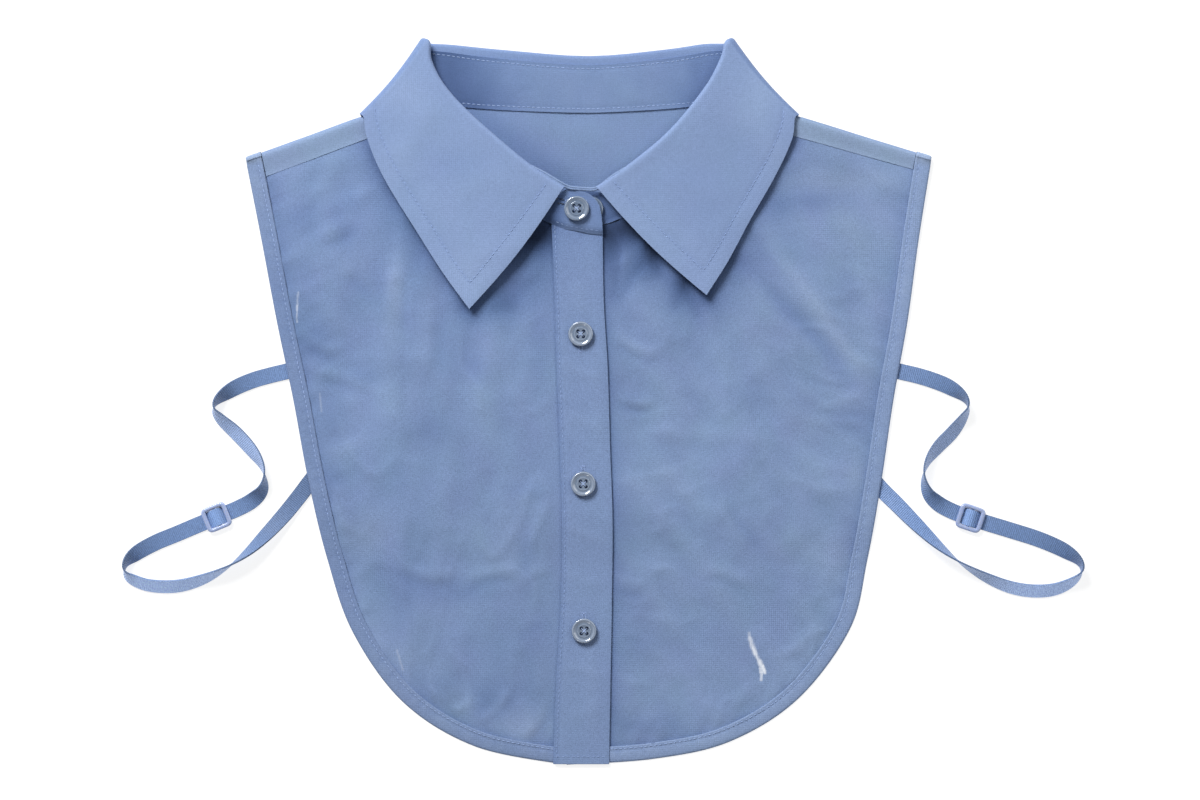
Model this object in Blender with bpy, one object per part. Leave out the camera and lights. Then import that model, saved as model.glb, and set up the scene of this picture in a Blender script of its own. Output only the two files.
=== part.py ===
"""Detachable shirt collar (dickey): short front and back bibs, a stand and a pointed fall, laid flat.

X runs to the wearer's left side, Y towards the neck, Z up from the surface it lies on.
Lengths in the tables are millimetres; MM turns them into metres.
"""
import math

import bmesh
import bpy
import mathutils

MM = 0.001
WALL = 1.0  # one layer of cloth with its turnings
GAP = 0.3  # clearance at seams and between layers
LAYER = WALL + GAP
FRONT_LIFT = WALL + 0.5  # the fronts over the back bib and the strap ends
NECK_CLEAR = 0.5  # neck edges of the fronts to the stand
EDGING = 8.0  # width of the side and hem edging
EDGING_BACK_ROWS = 9
EDGING_BACK_END = 0.04  # share of the back's side edge left to the shoulder fold
EDGING_SEAM = 0.012  # share of the front's edge where the shoulder fold comes down
EDGING_FRONT_START = 0.02
EDGING_FRONT_ROWS = 28
ROLL = 1.6  # radius of the collar's roll, at the middle of the cloth
SEAM_IN = 5.0  # how far the fall turns under before it meets the stand
BUTTON_WIDTH = 12.6
BUTTON_HEIGHT = 2.4
UNDER_BUTTON_HEIGHT = 1.7
STRAP_WIDTH = 8.0
STRAP_THICK = 1.0
SLIDER_LENGTH = 13.2
SLIDER_WIDTH = 12.9
SLIDER_BAR = 1.6
SLIDER_TOP = 2.9
SLIDER_ROUND = 2.6
BAR_TOP = 1.5  # top of the slider's lower centre bar
HOLE_PITCH = 1.9  # button holes from the middle
TUCK_LEFT = 3.6  # how far each front runs in under the placket
TUCK_RIGHT = 5.4
SHOULDER_PUFF = 1.2  # how much higher the shoulder fold stands than flat layers
HEM_SHARE = 0.70  # share of the outer edge where the hem begins
SEAM_COLUMNS = 4
SHOULDER_COLUMNS = 5
NECK_COLUMNS = 12
BODY_ROWS = 12
WRAP_ROWS = 5
HEM_OF_BACK = 1.0  # Y of the short back bib's hem

CLOTH = (0.21, 0.30, 0.50)
COLLAR_CLOTH = (0.25, 0.34, 0.56)
ELASTIC = (0.16, 0.26, 0.50)
SLIDER_PLASTIC = (0.40, 0.50, 0.78)
BUTTON_PLASTIC = (0.30, 0.35, 0.40)

# Finished outer edge, from the shoulder corner down the side and round the hem: x, y
EDGE_LEFT = [
    (-171.6, 122.4), (-163.5, 80.9), (-155.8, 40.0), (-147.6, 0.9), (-140.2, -38.8),
    (-130.5, -79.5), (-117.6, -116.0), (-92.5, -149.8), (-57.0, -171.6), (-14.0, -180.6),
]
EDGE_RIGHT = [
    (171.7, 122.9), (165.1, 80.9), (159.5, 40.0), (152.5, 0.9), (146.6, -38.8),
    (139.5, -79.5), (130.8, -113.9), (105.0, -148.4), (70.6, -169.4), (32.3, -178.0), (-11.0, -180.9),
]
# Side edge of the back bib, from the shoulder corner to its hem, hidden under the front: x, y
BACK_EDGE_LEFT = [(-171.6, 122.4), (-157.5, 80.0), (-147.5, 40.0), (-138.5, HEM_OF_BACK)]
BACK_EDGE_RIGHT = [(171.7, 122.9), (159.0, 80.0), (150.5, 40.0), (142.5, HEM_OF_BACK)]

# Button placket, from under the stand to its foot: left x, left y, right x, right y
PLACKET = [
    (-18.6, 90.2, 7.1, 86.9), (-16.9, 51.0, 7.7, 51.0), (-15.9, 16.0, 9.7, 16.0),
    (-14.3, -24.0, 10.9, -24.0), (-13.3, -59.0, 12.1, -59.0), (-13.8, -99.0, 11.8, -99.0),
    (-16.1, -139.0, 11.1, -139.0), (-17.7, -181.4, 10.4, -181.4),
]

# The collar, a row for each section across it, from the wearer's right front round the back:
# roll x, roll y, outer edge x, outer edge y, reach of the neck seam, height at the roll,
# height at the edge, height at the neck seam, turn (0 on top, 180 underneath)
COLLAR = [
    (-12.2, 107.0, -59.6, 47.0, 19.5, 9.2, 6.2, 3.8, 0),
    (-28.1, 117.2, -73.0, 65.0, 23.5, 9.8, 5.6, 2.1, 0),
    (-43.4, 129.6, -86.0, 85.5, 27.0, 10.0, 5.2, 2.4, 0),
    (-61.5, 145.9, -98.5, 105.5, 30.0, 9.8, 5.4, 3.3, 0),
    (-72.5, 158.5, -106.3, 120.5, 32.0, 9.6, 6.0, 3.3, 0),
    (-78.3, 170.0, -111.0, 134.0, 33.5, 9.5, 6.4, 3.3, 0),
    (-78.6, 177.6, -112.0, 141.7, 34.0, 9.4, 6.5, 3.3, 0),
    (-78.6, 177.6, -112.0, 141.7, 34.0, 9.4, 6.5, 3.3, 60),
    (-78.6, 177.6, -112.0, 141.7, 34.0, 9.4, 6.5, 3.3, 120),
    (-78.6, 177.6, -112.0, 141.7, 34.0, 9.4, 6.5, 3.3, 180),
    (-67.0, 178.0, -97.0, 137.0, 33.0, 9.4, 6.5, 3.3, 180),
    (-42.0, 175.6, -52.0, 128.0, 30.0, 9.4, 6.5, 3.3, 180),
    (0.0, 172.6, 0.0, 126.0, 28.0, 9.4, 6.5, 3.3, 180),
    (38.0, 175.8, 48.0, 128.0, 29.5, 9.4, 6.5, 3.3, 180),
    (57.5, 178.6, 85.0, 135.5, 32.0, 9.4, 6.5, 3.3, 180),
    (67.6, 177.6, 102.9, 141.3, 34.0, 9.4, 6.5, 3.3, 180),
    (67.6, 177.6, 102.9, 141.3, 34.0, 9.4, 6.5, 3.3, 120),
    (67.6, 177.6, 102.9, 141.3, 34.0, 9.4, 6.5, 3.3, 60),
    (67.6, 177.6, 102.9, 141.3, 34.0, 9.4, 6.5, 3.3, 0),
    (66.0, 171.0, 101.5, 131.0, 33.5, 9.5, 6.4, 3.3, 0),
    (58.5, 157.0, 93.5, 113.4, 32.0, 9.6, 5.6, 3.3, 0),
    (41.5, 136.1, 80.5, 90.5, 29.0, 9.4, 5.2, 2.8, 0),
    (22.8, 120.1, 69.5, 70.0, 25.0, 8.4, 5.6, 2.0, 0),
    (4.0, 107.1, 58.7, 54.1, 20.5, 6.4, 6.0, 1.8, 0),
]
FIRST_TURN = 6  # rows of COLLAR where it goes round the side of the neck
LAST_TURN = 18
T_LEFT_SIDE = FIRST_TURN / (len(COLLAR) - 1)
T_LEFT_BACK = (FIRST_TURN + 3) / (len(COLLAR) - 1)
T_RIGHT_BACK = (LAST_TURN - 3) / (len(COLLAR) - 1)
T_RIGHT_SIDE = LAST_TURN / (len(COLLAR) - 1)

# Free ends of the stand, from the end inwards: seam x, seam y, top x, top y, seam height, top height
STAND_LEFT_END = [
    (7.2, 83.8, 6.6, 91.5, 5.3, 5.7), (5.8, 83.8, 5.6, 97.6, 5.3, 6.0),
    (3.4, 83.9, 3.0, 101.6, 5.3, 6.1), (-0.6, 84.4, -0.6, 104.2, 5.3, 6.1),
    (-6.0, 85.6, -6.2, 105.5, 5.2, 6.1), (-11.6, 86.6, -11.2, 106.0, 5.0, 6.1),
    (-18.0, 89.0, -15.6, 102.4, 4.5, 6.0),
]
STAND_RIGHT_END = [
    (-12.0, 88.6, -12.0, 105.0, 1.8, 1.8), (-2.0, 88.6, -4.0, 105.8, 1.8, 1.8),
    (8.0, 89.0, 2.0, 105.6, 1.8, 1.9), (14.0, 91.0, 5.8, 104.6, 1.8, 2.3),
]

# Largest soft folds of the fronts: x, y of one end, x, y of the other, half width, height
FOLDS = [
    (-92.0, 88.0, -88.0, -8.0, 7.0, 1.3), (-74.0, 66.0, -78.0, -30.0, 6.0, 1.1),
    (-128.0, 112.0, -112.0, 40.0, 8.0, 0.9), (-104.0, -60.0, -60.0, -140.0, 9.0, 1.0),
    (-50.0, 30.0, -30.0, -110.0, 8.0, 0.7), (96.0, 70.0, 136.0, 10.0, 8.0, 1.3),
    (84.0, 50.0, 118.0, -20.0, 7.0, 1.0), (20.0, -16.0, 118.0, -22.0, 6.0, 0.8),
    (60.0, -50.0, 96.0, -130.0, 9.0, 0.9), (28.0, 60.0, 40.0, -120.0, 9.0, 0.7),
]

# Elastic ribbons, from the back bib out and round to the front: x, y, turn on edge in degrees
STRAP_LEFT = [
    (-142.4, 17.4, 0), (-151.3, 15.2, 0), (-160.0, 13.1, 3), (-168.5, 10.6, 8), (-177.5, 6.6, 22),
    (-185.2, 0.9, 66), (-187.2, -3.8, 104), (-184.0, -8.6, 132), (-176.4, -15.6, 150), (-168.9, -23.8, 144),
    (-163.6, -31.4, 116), (-161.9, -38.1, 88), (-163.2, -44.4, 50), (-168.6, -49.6, 14), (-176.0, -53.6, 2),
    (-186.2, -57.8, 0), (-196.4, -62.0, 2), (-206.3, -66.2, 5), (-216.5, -70.4, 10), (-225.8, -75.6, 26),
    (-231.2, -81.0, 74), (-231.6, -85.4, 108), (-228.2, -88.8, 134), (-219.3, -91.9, 142),
    (-206.0, -92.2, 142), (-193.0, -88.8, 128), (-180.9, -82.8, 96), (-170.5, -75.2, 62), (-161.4, -66.5, 34), (-152.8, -57.1, 14),
    (-145.3, -47.8, 3), (-139.9, -40.6, 0), (-133.4, -32.3, 0),
]
STRAP_RIGHT = [
    (146.6, 17.6, 0), (155.8, 15.2, 0), (164.0, 13.3, 3), (172.0, 10.9, 8), (180.0, 7.6, 22),
    (187.2, 2.6, 62), (189.8, -2.6, 98), (187.2, -8.4, 126), (181.8, -15.6, 146), (175.0, -22.6, 142),
    (169.6, -30.0, 116), (167.6, -37.6, 88), (169.6, -45.4, 52), (175.2, -51.0, 16), (182.6, -55.0, 2),
    (191.2, -58.2, 0), (201.0, -61.2, 2), (212.2, -64.6, 5), (225.6, -68.9, 10), (237.6, -74.2, 26),
    (245.2, -79.9, 68), (246.4, -85.2, 100), (241.6, -90.2, 128), (232.8, -93.9, 142), (222.0, -94.6, 144),
    (210.6, -92.6, 138), (198.4, -87.6, 122), (186.6, -80.8, 94), (175.6, -72.2, 60), (164.2, -61.4, 30),
    (154.6, -51.6, 12), (146.1, -43.1, 0), (139.4, -35.2, 0),
]
SLIDER_ROW = 15  # row of each strap where its slider sits

# Forward-shoulder seam and shoulder fold, from the neck to the edging: x, y
SEAM_LEFT = [(-97.8, 136.4), (-161.4, 112.8)]
SEAM_RIGHT = [(84.8, 137.8), (162.4, 116.4)]
FOLD_LEFT = [(-102.5, 145.6), (-116.0, 142.2), (-163.8, 125.0)]
FOLD_RIGHT = [(92.8, 145.4), (106.5, 142.7), (164.0, 125.1)]
# Neck edge of each front beside the placket: x, y
NECK_START_LEFT = [(-15.0, 86.6), (-18.6, 88.3)]
NECK_START_RIGHT = [(-13.2, 88.0), (0.0, 88.0), (8.0, 88.4), (14.4, 90.3)]

# Buttons: name, x, y, height of their underside
BUTTONS = [
    ("button_stand", -5.9, 96.4, 6.6), ("button_2", -3.9, 33.9, 4.1), ("button_3", -2.6, -41.0, 4.1),
    ("button_4", -2.2, -114.5, 2.6),
]


def smooth(t):
    """Ease from 0 to 1 as t goes from 0 to 1."""
    t = min(max(t, 0.0), 1.0)
    return t * t * (3.0 - 2.0 * t)


def row_at(table, t):
    """Every column of a table, read on a smooth curve through its rows, t from 0 to 1."""
    place = min(max(t, 0.0), 1.0) * (len(table) - 1)
    k = min(int(place), len(table) - 2)
    f = place - k
    before = table[max(k - 1, 0)]
    after = table[min(k + 2, len(table) - 1)]
    values = []
    for p0, p1, p2, p3 in zip(before, table[k], table[k + 1], after):
        bend = (2 * p0 - 5 * p1 + 4 * p2 - p3) * f * f + (3 * p1 - p0 - 3 * p2 + p3) * f * f * f
        values.append(p1 + 0.5 * ((p2 - p0) * f + bend))
    return values


def inset(table, t, distance, side):
    """A point that lies inside an outline by a distance; side is 1 for the left half, -1 for the right."""
    x0, y0 = row_at(table, t - 0.01)[:2]
    x1, y1 = row_at(table, t + 0.01)[:2]
    x, y = row_at(table, t)[:2]
    run = math.hypot(x1 - x0, y1 - y0)
    return x - side * (y1 - y0) / run * distance, y + side * (x1 - x0) / run * distance


def share_at_height(table, y, distance, side):
    """Where along an outline its inset line passes a height, found by halving."""
    low, high = 0.0, 0.3
    for step in range(30):
        middle = (low + high) / 2.0
        if inset(table, middle, distance, side)[1] > y:
            low = middle
        else:
            high = middle
    return low


def back_level(x, y):
    """Underside of the back bib: on the surface, and over the fall behind the neck."""
    return LAYER * smooth((y - 104.0) / 18.0) * smooth((140.0 - abs(x)) / 20.0)


def fold_height(x, y):
    """How far the soft folds lift a front."""
    total = 0.0
    for x0, y0, x1, y1, half, height in FOLDS:
        run = math.hypot(x1 - x0, y1 - y0)
        along = ((x - x0) * (x1 - x0) + (y - y0) * (y1 - y0)) / run
        across = ((x - x0) * (y1 - y0) - (y - y0) * (x1 - x0)) / run
        ends = smooth(along / 25.0 + 0.5) * smooth((run - along) / 25.0 + 0.5)
        total += height * ends * math.exp(-((across / half) ** 2))
    return total


def front_level(x, y):
    """Underside of a front: one layer up over the back bib and the straps, on the surface below."""
    return back_level(x, y) + FRONT_LIFT * smooth((y + 84.0) / 30.0)


def material(name, colour, roughness):
    """A plain dielectric finish."""
    finish = bpy.data.materials.new(name)
    finish.use_nodes = True
    shader = finish.node_tree.nodes["Principled BSDF"]
    shader.inputs["Base Color"].default_value = (*colour, 1.0)
    shader.inputs["Roughness"].default_value = roughness
    shader.inputs["Metallic"].default_value = 0.0
    return finish


def add_object(name, shape, finish):
    """Turn a bmesh, in millimetres, into a scene object in metres."""
    for vert in shape.verts:
        vert.co *= MM
    mesh = bpy.data.meshes.new(name)
    shape.to_mesh(mesh)
    shape.free()
    mesh.materials.append(finish)
    mesh.shade_smooth()
    mesh.set_sharp_from_angle(angle=math.radians(50))
    thing = bpy.data.objects.new(name, mesh)
    bpy.context.scene.collection.objects.link(thing)
    return thing


def sheet(columns, rows, place):
    """An open grid; place(u, w) gives each of its points, or None where there is no cloth."""
    shape = bmesh.new()
    bmesh.ops.create_grid(shape, x_segments=columns, y_segments=rows, size=1.0)
    left_out = []
    for vert in shape.verts:
        point = place((vert.co.x + 1.0) / 2.0, (vert.co.y + 1.0) / 2.0)
        if point is None:
            left_out.append(vert)
        else:
            vert.co = point
    bmesh.ops.delete(shape, geom=left_out, context="VERTS")
    return shape


def thicken(thing, wall):
    """Give an open sheet its wall, half to each side."""
    solidify = thing.modifiers.new("wall", "SOLIDIFY")
    solidify.thickness = wall * MM
    solidify.offset = 0.0


def coons(top, bottom, inner, outer, u, w):
    """Point of a four-sided patch; w runs from bottom to top and u from inner to outer."""
    (tx, ty), (bx, by), (ix, iy), (ox, oy) = top(u), bottom(u), inner(w), outer(w)
    corners = [bottom(0.0), bottom(1.0), top(0.0), top(1.0)]
    shares = [(1 - u) * (1 - w), u * (1 - w), (1 - u) * w, u * w]
    cx = sum(share * corner[0] for share, corner in zip(shares, corners))
    cy = sum(share * corner[1] for share, corner in zip(shares, corners))
    x = w * tx + (1 - w) * bx + (1 - u) * ix + u * ox - cx
    y = w * ty + (1 - w) * by + (1 - u) * iy + u * oy - cy
    return x, y


def collar_frame(t):
    """Roll point, direction to the outer edge, length, outward side and the row's other values."""
    rx, ry, ex, ey, reach, roll_z, edge_z, seam_z, turn = row_at(COLLAR, t)
    length = math.hypot(ex - rx, ey - ry)
    gx, gy = (ex - rx) / length, (ey - ry) / length
    outward = (gy, -gx) if t < 0.5 else (-gy, gx)
    return rx, ry, gx, gy, length, outward, reach, roll_z, edge_z, seam_z, math.radians(turn)


def lay_round(x, y, front_z, back_z, drop, outward, turn):
    """Carry a point of the top layer round the side fold to the layer underneath."""
    radius = (front_z - back_z) / 2.0 - drop
    middle = (front_z + back_z) / 2.0
    swing = radius * math.sin(turn)
    return x + outward[0] * swing, y + outward[1] * swing, middle + radius * math.cos(turn)


def neck_point(t, beyond):
    """A point of the neck seam's line, moved away from the neck by a distance."""
    rx, ry, gx, gy, length, outward, reach = collar_frame(t)[:7]
    return rx + gx * (reach + beyond), ry + gy * (reach + beyond)


def polyline(points, t):
    """A point on straight runs between points, t from 0 to 1 by length."""
    runs = [math.dist(a, b) for a, b in zip(points, points[1:])]
    left = t * sum(runs)
    for a, b, run in zip(points, points[1:], runs):
        if left <= run or b is points[-1]:
            break
        left -= run
    share = min(left / run, 1.0)
    return a[0] + (b[0] - a[0]) * share, a[1] + (b[1] - a[1]) * share


def picked(points, t):
    """A point between evenly counted points, t from 0 to 1."""
    place = t * (len(points) - 1)
    k = min(int(place + 1e-6), len(points) - 2)
    share = place - k
    (x0, y0), (x1, y1) = points[k], points[k + 1]
    return x0 + (x1 - x0) * share, y0 + (y1 - y0) * share


def front(name, side, edge, seam, neck_start, finish):
    """One front: neck and shoulder seam on top, the side edge outside, the hem at the bottom."""
    margin = EDGING + GAP
    top_points = list(neck_start)
    for k in range(2 * FIRST_TURN):
        share = k / (2 * (len(COLLAR) - 1))
        x, y = neck_point(share if side > 0 else 1.0 - share, NECK_CLEAR)
        if abs(x) < abs(seam[0][0]) - 2.0:
            top_points.append((x, y - GAP))
    for k in range(SEAM_COLUMNS + 1):
        x, y = polyline(seam, k / SEAM_COLUMNS)
        top_points.append((x, y - GAP))
    seam_share = share_at_height(edge, seam[-1][1] - GAP, margin, side)
    tuck = TUCK_LEFT if side > 0 else TUCK_RIGHT

    def top(u):
        return picked(top_points, u)

    def outer(w):
        return inset(edge, seam_share + (HEM_SHARE - seam_share) * (1.0 - w), margin, side)

    def bottom(u):
        return inset(edge, HEM_SHARE + (1.0 - HEM_SHARE) * (1.0 - u), margin, side)

    def inner(w):
        start, end = bottom(0.0), top(0.0)
        y = start[1] + (end[1] - start[1]) * w
        along = row_at(PLACKET, (PLACKET[0][1] - y) / (PLACKET[0][1] - PLACKET[-1][1]))[0] + tuck
        straight = start[0] + (end[0] - start[0]) * w
        return straight + (along - straight) * smooth(w * 8.0) * smooth((1.0 - w) * 8.0), y

    def place(u, w):
        x, y = coons(top, bottom, inner, outer, u, w)
        calm = smooth(u * 6.0) * smooth((1.0 - u) * 8.0) * smooth(w * 8.0) * smooth((1.0 - w) * 8.0)
        return x, y, front_level(x, y) + WALL / 2.0 + fold_height(x, y) * calm

    thicken(add_object(name, sheet(len(top_points) - 1, 18, place), finish), WALL)


def shoulder(fold, seam, side, share):
    """Bottom of the shoulder fold at a share of its length, its outward side, radius and seam point."""
    x, y = polyline(fold, share)
    end_x, end_y = fold[-1][0] - fold[0][0], fold[-1][1] - fold[0][1]
    run = math.hypot(end_x, end_y)
    outward = (side * end_y / run, -side * end_x / run)
    radius = (LAYER + SHOULDER_PUFF) / 2.0
    reach = radius + WALL / 2.0
    return (x - outward[0] * reach, y - outward[1] * reach), outward, radius, polyline(seam, share)


def wrap_shoulder(base, outward, radius, seam, step):
    """A point of the cloth that goes over the shoulder: three steps round the fold, then to the seam."""
    x, y = base
    if step <= 3:
        turn = math.radians(60.0 * step)
        swing = radius * math.sin(turn)
        z = back_level(x, y) + WALL / 2.0 + radius - radius * math.cos(turn)
        return x + outward[0] * swing, y + outward[1] * swing, z
    share = (step - 3) / 2.0
    x += (seam[0] - x) * share
    y += (seam[1] - y) * share
    return x, y, front_level(x, y) + WALL / 2.0 + SHOULDER_PUFF * (1.0 - smooth(share))


def back_panel(finish):
    """The back bib: neck between two shoulders, which wrap over to the forward seams."""
    neck = []
    for k in range(1, 12):
        neck.append(neck_point(T_LEFT_BACK + (T_RIGHT_BACK - T_LEFT_BACK) * k / 12, GAP))
    left_corner = shoulder(FOLD_LEFT, SEAM_LEFT, 1, 0.0)[0]
    right_corner = shoulder(FOLD_RIGHT, SEAM_RIGHT, -1, 0.0)[0]
    columns = 2 * SHOULDER_COLUMNS + NECK_COLUMNS

    def shoulder_at(u):
        step = u * columns
        if step < SHOULDER_COLUMNS + 0.01:
            return shoulder(FOLD_LEFT, SEAM_LEFT, 1, 1.0 - step / SHOULDER_COLUMNS)
        if step > SHOULDER_COLUMNS + NECK_COLUMNS - 0.01:
            share = (step - SHOULDER_COLUMNS - NECK_COLUMNS) / SHOULDER_COLUMNS
            return shoulder(FOLD_RIGHT, SEAM_RIGHT, -1, max(share, 0.0))
        return None

    def top(u):
        if shoulder_at(u):
            return shoulder_at(u)[0]
        share = (u * columns - SHOULDER_COLUMNS) / NECK_COLUMNS
        return picked([left_corner] + neck + [right_corner], share)

    def bottom(u):
        left, right = inner(0.0), outer(0.0)
        return left[0] + (right[0] - left[0]) * u, HEM_OF_BACK

    def inner(w):
        edge = inset(BACK_EDGE_LEFT, 1.0 - w, EDGING + GAP, 1)
        corner = shoulder(FOLD_LEFT, SEAM_LEFT, 1, 1.0)[0]
        blend = smooth((w - 0.9) * 10.0)
        return edge[0] + (corner[0] - edge[0]) * blend, edge[1] + (corner[1] - edge[1]) * blend

    def outer(w):
        edge = inset(BACK_EDGE_RIGHT, 1.0 - w, EDGING + GAP, -1)
        corner = shoulder(FOLD_RIGHT, SEAM_RIGHT, -1, 1.0)[0]
        blend = smooth((w - 0.9) * 10.0)
        return edge[0] + (corner[0] - edge[0]) * blend, edge[1] + (corner[1] - edge[1]) * blend

    def place(u, w):
        row = w * (BODY_ROWS + WRAP_ROWS)
        if row > BODY_ROWS + 0.01:
            here = shoulder_at(u)
            return wrap_shoulder(*here, round(row) - BODY_ROWS) if here else None
        x, y = coons(top, bottom, inner, outer, u, row / BODY_ROWS)
        return x, y, back_level(x, y) + WALL / 2.0

    shape = sheet(columns, BODY_ROWS + WRAP_ROWS, place)
    thicken(add_object("back_panel", shape, finish), WALL)


def edging(name, side, edge, back_edge, fold, finish):
    """Folded strip along the back's side edge, over the shoulder, down the front and round its hem."""
    sections = []
    for k in range(EDGING_BACK_ROWS):
        t = 1.0 - (1.0 - EDGING_BACK_END) * k / (EDGING_BACK_ROWS - 1)
        outside, inside = inset(back_edge, t, 0.0, side), inset(back_edge, t, EDGING, side)
        sections.append([(x, y, back_level(x, y) + WALL / 2.0) for x, y in (outside, inside)])
    line = [edge[0], (fold[-1][0] - side * GAP, fold[-1][1])]
    for step in range(5):
        section = []
        for end in (0.0, 1.0):
            base, outward, radius, ignored = shoulder(line, line, -side, end)
            front_end = inset(edge, EDGING_SEAM, EDGING * end, side)
            section.append(wrap_shoulder(base, outward, radius, front_end, step))
        sections.append(section)
    for k in range(EDGING_FRONT_ROWS):
        t = EDGING_FRONT_START + (1.0 - EDGING_FRONT_START) * k / (EDGING_FRONT_ROWS - 1)
        section = []
        for distance in (0.0, EDGING):
            x, y = inset(edge, t, distance, side)
            puff = SHOULDER_PUFF * 0.5 * (1.0 - smooth(k / 2.0))
            section.append((x, y, front_level(x, y) + WALL / 2.0 + puff))
        sections.append(section)

    def place(u, w):
        return sections[round(u * (len(sections) - 1))][round(w)]

    thicken(add_object(name, sheet(len(sections) - 1, 1, place), finish), WALL)


def placket(finish):
    """Buttonhole strip of the left front, one layer above the fronts."""
    def place(u, w):
        left_x, left_y, right_x, right_y = row_at(PLACKET, 1.0 - w)
        x, y = left_x + (right_x - left_x) * u, left_y + (right_y - left_y) * u
        return x, y, front_level(x, y) + LAYER + WALL / 2.0

    thicken(add_object("placket", sheet(2, 24, place), finish), WALL)


def leaf_height(reach, length, roll_z, edge_z):
    """Height of the fall's top layer at a distance from the roll."""
    share = max(reach - ROLL, 0.0) / (length - ROLL)
    return edge_z + (roll_z - edge_z) * (1.0 - share) ** 1.3


def collar_fall(finish):
    """The fall: from its seam under the roll, over the roll and out to the edge, all round the neck."""
    section = [(SEAM_IN, 2.0 * ROLL)]
    for k in range(5):
        angle = math.radians(45.0 * k)
        section.append((ROLL - ROLL * math.sin(angle), ROLL + ROLL * math.cos(angle)))
    shares = [0.1, 0.25, 0.45, 0.7, 1.0]
    rows = 2 * (len(COLLAR) - 1)

    def place(u, w):
        rx, ry, gx, gy, length, outward, reach, roll_z, edge_z, seam_z, turn = collar_frame(u)
        k = round(w * (len(section) + len(shares) - 1))
        if k < len(section):
            along, drop = section[k]
        else:
            along, drop = ROLL + (length - ROLL) * shares[k - len(section)], 0.0
        front_z = leaf_height(along, length, roll_z, edge_z)
        return lay_round(rx + gx * along, ry + gy * along, front_z, WALL / 2.0, drop, outward, turn)

    shape = sheet(rows, len(section) + len(shares) - 1, place)
    thicken(add_object("collar_fall", shape, finish), WALL)


def collar_stand(finish):
    """The stand: a band from the neck seam up to the fall, its left end lapping over its right end."""
    sections = []
    for seam_x, seam_y, top_x, top_y, seam_z, top_z in STAND_LEFT_END:
        sections.append([(top_x, top_y, top_z), (seam_x, seam_y, seam_z)])
    rows = 2 * (len(COLLAR) - 1)
    for k in range(rows + 1):
        rx, ry, gx, gy, length, outward, reach, roll_z, edge_z, seam_z, turn = collar_frame(k / rows)
        top = SEAM_IN + GAP
        bottom_z = LAYER + WALL / 2.0
        top_point = lay_round(rx + gx * top, ry + gy * top, roll_z, WALL / 2.0, 2.0 * ROLL, outward, turn)
        seam_point = lay_round(rx + gx * reach, ry + gy * reach, seam_z, bottom_z, 0.0, outward, turn)
        sections.append([top_point, seam_point])
    for seam_x, seam_y, top_x, top_y, seam_z, top_z in STAND_RIGHT_END[::-1]:
        sections.append([(top_x, top_y, top_z), (seam_x, seam_y, seam_z)])

    def place(u, w):
        top_point, seam_point = sections[round(u * (len(sections) - 1))]
        return [a + (b - a) * w for a, b in zip(top_point, seam_point)]

    thicken(add_object("collar_stand", sheet(len(sections) - 1, 2, place), finish), WALL)


def button(name, x, y, z, height, finish):
    """A turned four-hole button with a raised rim."""
    half = BUTTON_WIDTH / 2.0
    profile = [
        (0.0, 0.0), (half - 1.0, 0.0), (half, 0.7), (half, height - 0.4), (half - 0.5, height),
        (half - 1.2, height), (half - 2.0, height - 0.6), (0.0, height - 0.6),
    ]
    shape = bmesh.new()
    points = [shape.verts.new((radius, 0.0, up)) for radius, up in profile]
    edges = [shape.edges.new(pair) for pair in zip(points, points[1:])]
    bmesh.ops.spin(
        shape, geom=points + edges, cent=(0, 0, 0), axis=(0, 0, 1), angle=math.tau, steps=24,
        use_merge=True,
    )
    bmesh.ops.remove_doubles(shape, verts=shape.verts, dist=0.001)
    bmesh.ops.recalc_face_normals(shape, faces=shape.faces)
    bmesh.ops.translate(shape, verts=shape.verts, vec=(x, y, z))
    drill = bmesh.new()
    for turn in range(4):
        angle = math.radians(45.0 + 90.0 * turn)
        made = bmesh.ops.create_cone(
            drill, cap_ends=True, segments=8, radius1=0.85, radius2=0.85, depth=3.0 * height
        )
        spot = (x + HOLE_PITCH * math.cos(angle), y + HOLE_PITCH * math.sin(angle), z)
        bmesh.ops.translate(drill, verts=made["verts"], vec=spot)
    thing = add_object(name, shape, finish)
    cut(thing, add_object(name + "_drill", drill, finish))


def cut(thing, cutter):
    """Take a cutter's shape out of a thing."""
    cutter.hide_render = True
    cutter.display_type = "WIRE"
    boolean = thing.modifiers.new("cut", "BOOLEAN")
    boolean.object = cutter
    boolean.solver = "EXACT"


def set_down(shape, angle, cx, cy):
    """Turn a shape about the upright axis and move it to its place."""
    spin = mathutils.Matrix.Rotation(angle, 3, "Z")
    bmesh.ops.rotate(shape, verts=shape.verts, cent=(0, 0, 0), matrix=spin)
    bmesh.ops.translate(shape, verts=shape.verts, vec=(cx, cy, 0))


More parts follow.
